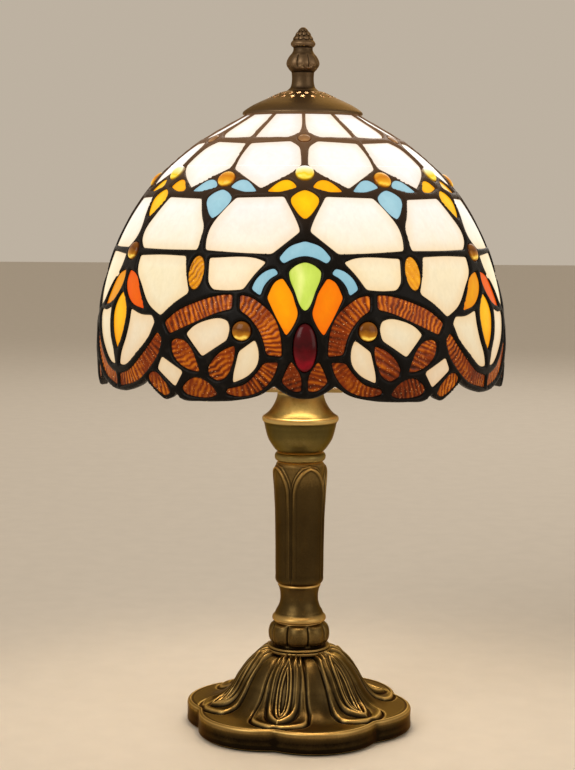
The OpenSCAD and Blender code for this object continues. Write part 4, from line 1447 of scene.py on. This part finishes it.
@dataclass
class Column:
    """The cast stem: knop, spool, petalled shaft, bead and vase."""

    finishes: Finishes
    petal_turn: float = 24.0
    petal_half: float = 9.7
    arch_foot: float = 119.0
    arch_rise: float = 15.0
    knop_turn: float = -3.0
    knop_lobes: int = 8

    def build(self) -> None:
        """Builds every piece of the stem."""
        f = self.finishes
        knop = turned("gadroon_knop", [
            (13.6, 38), (15.6, 38.2), (16.3, 39), (16.2, 39.8), (15.4, 40.3), (15.9, 40.8),
            (15.6, 41.5), (13.6, 42), (13.4, 42.6), (14.3, 45), (14.6, 47.6), (14.2, 50.4),
            (13, 52.8), (12.2, 53.8), (12.2, 54.2)], f.bronze, self.knop_relief, 256, 0.3,
            ((42, -0.08), (49, -0.02), (53, -0.05)), 0.8)
        finish_piece(knop, Body.STAND, "antique_bronze", "gadroon_knop")
        spool = turned("neck_spool", [
            (12.6, 54), (13.3, 54.4), (13.7, 55.4), (13.4, 56.6), (12.7, 57.4), (12.3, 57.9),
            (11.9, 59), (10.6, 61.4), (9.8, 64), (9.6, 67), (9.9, 69.6), (10.5, 71.6),
            (11.0, 72.6), (10.6, 73.2)], f.bronze, wear_and_light=(
                (54, 0.05), (55, 0.28), (57.4, 0.28), (58.4, 0), (73, -0.05)))
        finish_piece(spool, Body.STAND, "antique_bronze", "neck_spool")
        shaft = turned("column_shaft", [
            (10.4, 73), (11.4, 73.8), (12.1, 75), (12.3, 77), (12.5, 92), (13.0, 117),
            (13.35, 128), (13.35, 133), (13.2, 134.6), (12.2, 136)], f.bronze,
            self.shaft_relief, 320, 0.35, ((74, -0.11), (103, -0.1), (120, -0.02), (128, 0.1)), 0.3)
        finish_piece(shaft, Body.STAND, "antique_bronze", "column_shaft")
        bead = turned("neck_bead", [
            (11, 136), (11.7, 136.2), (12.5, 136.8), (12.9, 138.2), (12.6, 139.7),
            (11.9, 140.4), (11.2, 140.8)], f.gold, wear_and_light=((136, 0), (138.4, 0.1), (140, -0.1)))
        finish_piece(bead, Body.STAND, "antique_bronze", "neck_bead")
        # painted light: the neck painted brighter under the bulb and the bowl painted darker below the
        # lip
        vase = turned("vase_cup", [
            (11.2, 140.8), (12.1, 141.4), (14.4, 144.3), (16.2, 147.4), (17.2, 150.5),
            (17.9, 153.5), (18.4, 155.6), (19.1, 156.6), (19.3, 157.6), (19.0, 158.6),
            (17.6, 159.6), (15.9, 161.1), (14.5, 162.9), (13.3, 164.9), (12.4, 166.9),
            (11.8, 169), (11.6, 171)], f.gold, step=0.35, wear_and_light=(
                (141, -0.1), (146, -0.14), (153, -0.24), (156, -0.2), (157, 0.28), (158.6, 0.14),
                (160, 0), (171, 0.1)), gain=0.7)
        finish_piece(vase, Body.STAND, "golden_bronze", "vase_cup")

    def knop_relief(self, angle: np.ndarray, z: np.ndarray) -> np.ndarray:
        """Upright lobes with dark slots between them."""
        lobe = np.abs(np.cos((angle - math.radians(self.knop_turn)) * self.knop_lobes / 2))
        band = step_up(z - 42.2, 1.4) * step_up(53.6 - z, 1.6)
        return band * (1.95 * lobe ** 0.6 - 1.0)

    def shaft_relief(self, angle: np.ndarray, z: np.ndarray) -> np.ndarray:
        """Four tall arched petals with a raised line round each."""
        across = np.abs(np.radians(fold(angle, self.petal_turn, 90)) * 12.9)
        lift = np.clip((z - self.arch_foot) / self.arch_rise, 0, 1)
        half = self.petal_half * np.sqrt(np.maximum(1 - lift ** 2, 0))
        above = np.maximum(z - self.arch_foot - self.arch_rise, 0)
        slope = self.petal_half * lift / self.arch_rise / np.maximum(half / self.petal_half, 0.2)
        inside = (half - across) / np.sqrt(1 + slope ** 2) - above
        foot_fade = step_up(z - 75.5, 3)
        groove = -0.6 * bell(inside, 0.45) * foot_fade
        line = (0.02 + 0.42 * step_up(z - 106, 14)) * bell(inside - 1.25, 0.7) * foot_fade
        outside = -1.1 * step_up(-inside, 1.2)
        panel = -0.22 * step_up(inside - 1.6, 1.2) * foot_fade
        return groove + line + outside + panel


@dataclass
class Base:
    """The lobed foot with petals, leaves and tongues in relief."""

    finishes: Finishes
    lobe_turn: float = 17.0
    petal_turn: float = -13.0
    lobe_offset: float = 24.0
    lobe_r: float = 33.9
    flange_top: float = 12.0
    foot_z: float = 1.2
    inner_r: float = 12.0
    around: int = 720
    rows: int = 118

    def build(self) -> None:
        """Builds the casting and its pad."""
        casting = self.casting()
        finish_piece(casting, Body.STAND, "antique_bronze", "base_casting")
        pad = self.plate("felt_pad", 2.0, 0.0, self.foot_z, self.finishes.plain["felt"])
        finish_piece(pad, Body.STAND, "felt", "felt_pad")

    def reach(self, angle: np.ndarray, inset: float = 0.0) -> np.ndarray:
        """Radius of the lobed outline at each angle, with filleted notches, in millimetres."""
        fan = np.radians(np.arange(0, 60, 0.25))
        d = np.radians(fold(fan, self.lobe_turn, 60))
        r = (self.lobe_offset * np.cos(d)
             + np.sqrt(self.lobe_r ** 2 - (self.lobe_offset * np.sin(d)) ** 2))
        for _ in range(70):
            r = 0.5 * r + 0.25 * (np.roll(r, 1) + np.roll(r, -1))
        return np.interp(angle % math.radians(60), fan, r, period=math.radians(60)) - inset

    def dome(self, r: np.ndarray) -> np.ndarray:
        """Height of the plain dome at a radius."""
        profile = catmull([(12, 38), (16.5, 37.6), (19, 37), (21.3, 36), (25, 32.9), (27.3, 30.3),
                           (29.3, 27.6), (31, 25), (32.5, 22.3), (35, 18.4), (38, 15.2),
                           (41.5, 13.2), (46, 12.1), (60, 11.4)], False, 8)
        xs, zs = np.array(profile).T
        return np.interp(r, xs, zs)

    def inset_of(self, side: np.ndarray, r: np.ndarray, outline: Sequence[Point]) -> np.ndarray:
        """How far inside a mirrored outline each place is, negative outside.

        Args:
            side: Distance from the outline's middle line.
            r: Radius.
            outline: Radius and half-width pairs.

        Returns:
            Signed distances in millimetres.
        """
        dense = spaced(catmull(outline, False, 10, 75), 0.35, False)
        flat = np.stack([r.ravel(), side.ravel()], axis=1)
        gap = np.full(len(flat), 1e9)
        for a, b in zip(dense[:-1], dense[1:]):
            way = b - a
            t = np.clip(((flat - a) @ way) / (way @ way), 0, 1)
            gap = np.minimum(gap, np.linalg.norm(flat - a - t[:, None] * way, axis=1))
        half = np.interp(flat[:, 0], dense[:, 0], dense[:, 1], left=0, right=0)
        ends = (flat[:, 0] > dense[0, 0]) & (flat[:, 0] < dense[-1, 0])
        return np.where(ends & (flat[:, 1] < half), gap, -gap).reshape(r.shape)

    def relief(self, angle: np.ndarray, r: np.ndarray) -> np.ndarray:
        """Height of the ornament over the plain dome."""
        off = np.radians(fold(angle, self.petal_turn, 60)) * r
        side = np.abs(off)
        petal = self.inset_of(side, r, [
            (11, 4.4), (14, 5.0), (18, 6.1), (22, 7.6), (28, 9.9), (34, 12.0), (39, 14.2),
            (42, 14.6), (44.4, 14.8), (46.4, 13.9), (48.1, 11.8), (49.4, 8.9), (50.4, 5.6),
            (51, 2.6), (51.2, 0)])
        leaf = self.inset_of(side, r, [
            (15, 2.6), (20, 4.4), (26, 6.1), (31, 7.1), (36, 7.4), (40, 6.6), (43, 4.7),
            (45.2, 2.2), (46.4, 0)])
        heart = self.inset_of(side, r, [
            (20, 0), (23, 1.5), (28, 3.1), (33, 3.8), (38, 3.2), (41.6, 1.6), (43.6, 0)])
        slit = self.inset_of(side, r, [(25, 0), (29, 1.1), (33.5, 1.5), (37.5, 1.0), (40, 0)])
        raised = 1.3 * step_up(petal, 2.6) + 0.55 * bell(petal - 1.2, 0.7)
        border = -1.0 * bell(petal + 0.2, 0.7)
        hollow = -0.5 * step_up(petal - 2.2, 3.0) * step_up(r - 26, 8)
        tip = step_up(r - 33, 9)
        rim = (0.75 + 0.95 * tip) * bell(leaf - 0.9 - 0.5 * tip, 0.75 + 0.45 * tip)
        around_leaf = -0.75 * bell(leaf + 0.9, 0.8) * step_up(r - 19, 6)
        inner = 0.85 * bell(heart - 0.5, 0.5) + 0.35 * step_up(leaf - 1.6, 0.8)
        gap = -0.65 * bell(heart + 0.6, 0.55) * step_up(r - 22, 4)
        slot = -1.0 * step_up(slit + 0.1, 0.7) + 0.4 * bell(slit + 0.1, 0.35)
        ribs = 0.55 * np.cos(side / np.interp(r, [14, 26], [2.05, 3.6]) * TURN) \
            * step_up(27 - r, 6) * step_up(petal, 1.5)
        tongue_off = np.abs(np.radians(fold(angle, self.lobe_turn, 60)) * r)
        tongue = 0.75 * bell(tongue_off, 3.4) * step_up(46 - r, 10) * step_up(r - 16, 3)
        return (raised + border + hollow + rim + around_leaf + inner + gap + slot + ribs
                + tongue)

    def casting(self) -> bpy.types.Object:
        """The whole casting as a closed mesh."""
        angle = np.arange(self.around) * TURN / self.around
        reach = self.reach(angle)
        rows: list[np.ndarray] = []
        for t in np.linspace(0, 1, self.rows):
            r = self.inner_r + (reach - 0.9 - self.inner_r) * t
            edge = reach - r
            z = self.dome(r)
            flat = self.flange_top - 0.75 + 0.5 * bell(edge - 1.7, 0.6)
            blend = step_up(edge - 2.1, 1.6)
            over = z + self.relief(angle, r)
            z = flat * (1 - blend) + over * blend
            rows.append(np.column_stack([r * np.sin(angle), -r * np.cos(angle), z]))
        for inset, z in ((0.5, 11.05), (0.22, 10.5), (0.1, 9.6), (0.2, 8), (0.25, 6), (0.15, 4),
                         (0.0, 2.4), (0.05, 1.6), (0.35, self.foot_z), (2.2, self.foot_z)):
            r = reach - inset
            rows.append(np.column_stack([r * np.sin(angle), -r * np.cos(angle),
                                         np.full_like(r, z)]))
        n = self.around
        verts = np.vstack(rows + [[[0, 0, 38]], [[0, 0, self.foot_z]]])
        faces = []
        for i in range(len(rows) - 1):
            for k in range(n):
                a, b = i * n + k, i * n + (k + 1) % n
                faces.append((a, a + n, b + n, b))
        top, low = len(rows) * n, len(rows) * n + 1
        for k in range(n):
            faces.append((k, (k + 1) % n, top))
            last = (len(rows) - 1) * n
            faces.append((last + (k + 1) % n, last + k, low))
        obj = new_piece("base_casting", verts, faces, self.finishes.bronze)

        def wear(places: np.ndarray) -> np.ndarray:
            """Brighter towards the middle of the dome, a painted highlight of the bulb's light from
            above, a little brighter near the flange's edge, and darker down the flange's side, darkest
            at its foot.
            """
            r = np.hypot(places[:, 0], places[:, 1])
            side = np.interp(places[:, 2], [2, 3, 4.2, 9, 10.6, 11], [-5, -0.8, -0.03, -0.08, -0.4, 0])
            low = np.where(r > 45, side, 0.0)
            # painted highlight: brighter towards the middle, under the bulb
            return low + 0.16 * step_up(30 - r, 14) + 0.05 * step_up(r - 44, 4)

        rub_edges(obj, 5, 1.2, 0.3, wear)
        sharpen(obj, 60)
        return obj

    def plate(self, name: str, inset: float, low: float, high: float,
              material: bpy.types.Material) -> bpy.types.Object:
        """A flat plate with the base's outline."""
        n = 240
        angle = np.arange(n) * TURN / n
        r = self.reach(angle, inset)
        rows = [np.column_stack([(r - cut) * np.sin(angle), -(r - cut) * np.cos(angle),
                                 np.full(n, z)])
                for cut, z in ((0.2, low), (0, low + 0.2), (0, high))]
        verts = np.vstack(rows + [[[0, 0, low]], [[0, 0, high]]])
        faces = [(i * n + k, i * n + (k + 1) % n, (i + 1) * n + (k + 1) % n, (i + 1) * n + k)
                 for i in range(2) for k in range(n)]
        faces += [((k + 1) % n, k, 3 * n) for k in range(n)]
        faces += [(2 * n + k, 2 * n + (k + 1) % n, 3 * n + 1) for k in range(n)]
        return new_piece(name, verts, faces, material, False)


@dataclass
class Crown:
    """The vented cap over the shade and the finial on top."""

    finishes: Finishes
    seat_z: float = 318.0
    vents: int = 20

    def build(self) -> None:
        """Builds the cap and the finial."""
        cap = self.cap()
        finish_piece(cap, Body.SHADE, "dark_bronze", "vented_cap")
        finial = turned("finial", [
            (8.3, 319.2), (8.5, 319.9), (7.6, 320.8), (6.3, 322), (5.6, 324), (5.4, 327),
            (5.6, 329.6), (6.4, 330.4), (6.9, 331), (7.3, 331.6), (8, 333.6), (7.6, 335.5),
            (6.5, 337.5), (5.3, 339.2), (4.8, 340.4), (4.8, 341.6), (5.9, 342.6), (6.1, 343.6),
            (5.6, 344.6), (5.1, 345.6), (4.3, 347.2), (3.2, 349), (1.9, 350.6), (0.9, 351.4)],
            self.finishes.brown, self.finial_relief, 160, 0.25)
        finish_piece(finial, Body.FINIAL, "dark_bronze", "finial")

    def finial_relief(self, angle: np.ndarray, z: np.ndarray) -> np.ndarray:
        """Upright leaves on the bulge and scales on the tip."""
        leaves = np.abs(np.cos(4 * angle)) ** 0.6 - 0.75
        scales = np.abs(np.cos(5 * angle + 1.1 * np.floor((z - 343) / 2.2)))
        bulge = step_up(z - 331.4, 1.2) * step_up(338.6 - z, 1.5)
        tip = step_up(z - 344.4, 0.8) * step_up(351 - z, 2)
        wave = 0.5 + 0.5 * np.cos((z - 343) / 2.2 * TURN)
        return 0.75 * leaves * bulge + tip * (0.45 * (scales - 0.8) - 0.25 * wave)

    def cap(self) -> bpy.types.Object:
        """The spun cap, a thin shell with two rows of lens-shaped vents."""
        z = self.seat_z
        curve = catmull([(3.4, z + 1.15), (6, z + 1.2), (8.7, z + 2.4), (11, z + 1.7),
                         (14, z + 0.4), (17, z - 1.1), (21, z - 2.9), (24.7, z - 4.7),
                         (27.6, z - 6.5), (29.4, z - 7.9), (29.8, z - 8.6), (29.6, z - 9.3)],
                        False, 10)
        line = spaced(curve, 0.45, False)
        around = self.vents * 14
        n = len(line)
        angle = np.arange(around) * TURN / around
        keep: list[tuple[int, ...]] = []
        verts = np.vstack([np.column_stack([r * np.sin(angle), -r * np.cos(angle),
                                            np.full(around, h)]) for r, h in line])
        for i in range(n - 1):
            r = (line[i, 0] + line[i + 1, 0]) / 2
            for k in range(around):
                mid = (k + 0.5) * TURN / around
                if not self.open_at(mid, r):
                    keep.append((i * around + k, (i + 1) * around + k,
                                 (i + 1) * around + (k + 1) % around, i * around + (k + 1) % around))
        used = sorted({i for f in keep for i in f})
        order = {old: new for new, old in enumerate(used)}
        obj = new_piece("vented_cap", verts[used], [[order[i] for i in f] for f in keep],
                        self.finishes.brown)
        solid = obj.modifiers.new("Wall", "SOLIDIFY")
        solid.thickness = 0.9 * MM
        solid.offset = -1
        graph = bpy.context.evaluated_depsgraph_get()
        mesh = bpy.data.meshes.new_from_object(obj.evaluated_get(graph))
        obj.modifiers.clear()
        obj.data = mesh
        rub_edges(obj, 3, 0.6, 0.45)
        sharpen(obj, 50)
        return obj

    def open_at(self, angle: float, r: float) -> bool:
        """Whether a place on the cap is inside a vent."""
        for middle, long, wide, shift in ((12.6, 1.15, 1.05, 0.0), (16.4, 1.25, 1.0, 0.5)):
            d = (angle * self.vents / TURN + shift) % 1 - 0.5
            across = d * TURN / self.vents * r
            if (across / wide) ** 2 + ((r - middle) / long) ** 2 < 1:
                return True
        return False


@dataclass
class Fittings:
    """The holder, harp, pipe and other fittings that stay as the frame has them."""

    finishes: Finishes
    nodes: dict[str, bpy.types.Object]

    def build(self, record: dict) -> None:
        """Dresses each frame node that is still shown.

        Args:
            record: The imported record, for each node's slot.
        """
        slots = {s["node"]: s["material_slot"] for s in record["subparts"]}
        finishes = {"came": self.finishes.solder, **self.finishes.plain}
        for name, obj in self.nodes.items():
            finish = finishes.get(slots[name])
            if finish is None:
                continue
            obj.data.materials.clear()
            obj.data.materials.append(finish)


# ---------------------------------------------------------------------------
# Studio
# ---------------------------------------------------------------------------


@dataclass
class Studio:
    """The camera, the floor and the soft lights."""

    distance: float = 0.890
    height: float = 0.2702
    tilt: float = 6.15
    roll: float = 0.36
    lens: float = 83.2
    yaw: float = 0.427
    wall: tuple[float, float, float] = (0.60, 0.52, 0.42)
    wall_strength: float = 0.85
    floor_half: float = 6000.0

    def camera(self) -> None:
        """Places the camera in front of the lamp."""
        data = bpy.data.cameras.new("camera")
        data.lens = self.lens
        data.sensor_width = 36
        obj = bpy.data.objects.new("camera", data)
        bpy.context.scene.collection.objects.link(obj)
        obj.location = (0, -self.distance, self.height)
        obj.rotation_mode = "XYZ"
        turn = (Matrix.Rotation(math.radians(self.yaw), 4, "Z")
                @ Matrix.Rotation(math.radians(90 - self.tilt), 4, "X")
                @ Matrix.Rotation(math.radians(self.roll), 4, "Z"))
        obj.rotation_euler = turn.to_euler()
        bpy.context.scene.camera = obj

    def build(self) -> None:
        """Adds the floor, the lights and the world."""
        scene = bpy.context.scene
        scene.view_settings.view_transform = "Standard"
        floor_finish = PlainFinish("studio_floor", (0.66, 0.60, 0.52), 0.0, 0.8, 90, 0.0001,
                                   wear=0.04)
        half = self.floor_half
        floor = new_piece("floor", [(-half, -half, 0), (half, -half, 0), (half, half, 0),
                                    (-half, half, 0)], [(0, 1, 2, 3)], floor_finish.make(), False)
        world = bpy.data.worlds.new("studio")
        world.use_nodes = True
        backdrop = world.node_tree.nodes["Background"]
        backdrop.inputs["Color"].default_value = (*self.wall, 1)
        backdrop.inputs["Strength"].default_value = self.wall_strength
        scene.world = world
        down, up = (0, 0, 0), (math.pi, 0, 0)
        self.light("shade_glow", (0, 0, 0.283), down, 0.13, 0.46, (1.0, 0.80, 0.56), "DISK")
        self.light("crown_glow", (0, 0, 0.288), up, 0.05, 0.5, (1.0, 0.90, 0.75), "DISK")
        for name, place, size, power, colour in (
                ("key", (-1.1, -1.3, 1.3), 1.1, 13.0, (1.0, 0.96, 0.90)),
                ("fill", (1.5, -0.9, 0.8), 1.2, 5.0, (1.0, 0.93, 0.85)),
                ("back", (0.3, 1.4, 1.2), 1.2, 7.0, (1.0, 0.95, 0.88))):
            aim = Vector((0, 0, 0.17)) - Vector(place)
            self.light(name, place, aim.to_track_quat("-Z", "Y").to_euler(), size, power, colour)

    @staticmethod
    def light(name: str, place: Sequence[float], turn: Sequence[float], size: float,
              power: float, colour: Sequence[float], shape: str = "SQUARE") -> None:
        """Hangs one soft light.

        Args:
            name: The light's name.
            place: Where it hangs, in metres.
            turn: Its turn in radians; without one it shines straight down.
            size: Its width in metres.
            power: Its power in watts.
            colour: Its colour.
            shape: The shape of its face.
        """
        data = bpy.data.lights.new(name, "AREA")
        data.shape = shape
        data.size = size
        data.energy = power
        data.color = colour
        obj = bpy.data.objects.new(name, data)
        bpy.context.scene.collection.objects.link(obj)
        obj.location = place
        obj.rotation_euler = turn


def main() -> None:
    """Builds the lamp in order."""
    logging.basicConfig(level=logging.INFO, format="%(name)s: %(message)s")
    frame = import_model()
    studio = Studio()
    studio.camera()
    studio.build()
    finishes = Finishes()
    rings = RingArray()
    Base(finishes).build()
    Column(finishes).build()
    Crown(finishes).build()
    Shade(finishes, rings).build()
    Fittings(finishes, frame["nodes"]).build(frame["record"])


if __name__ == "__main__":
    main()
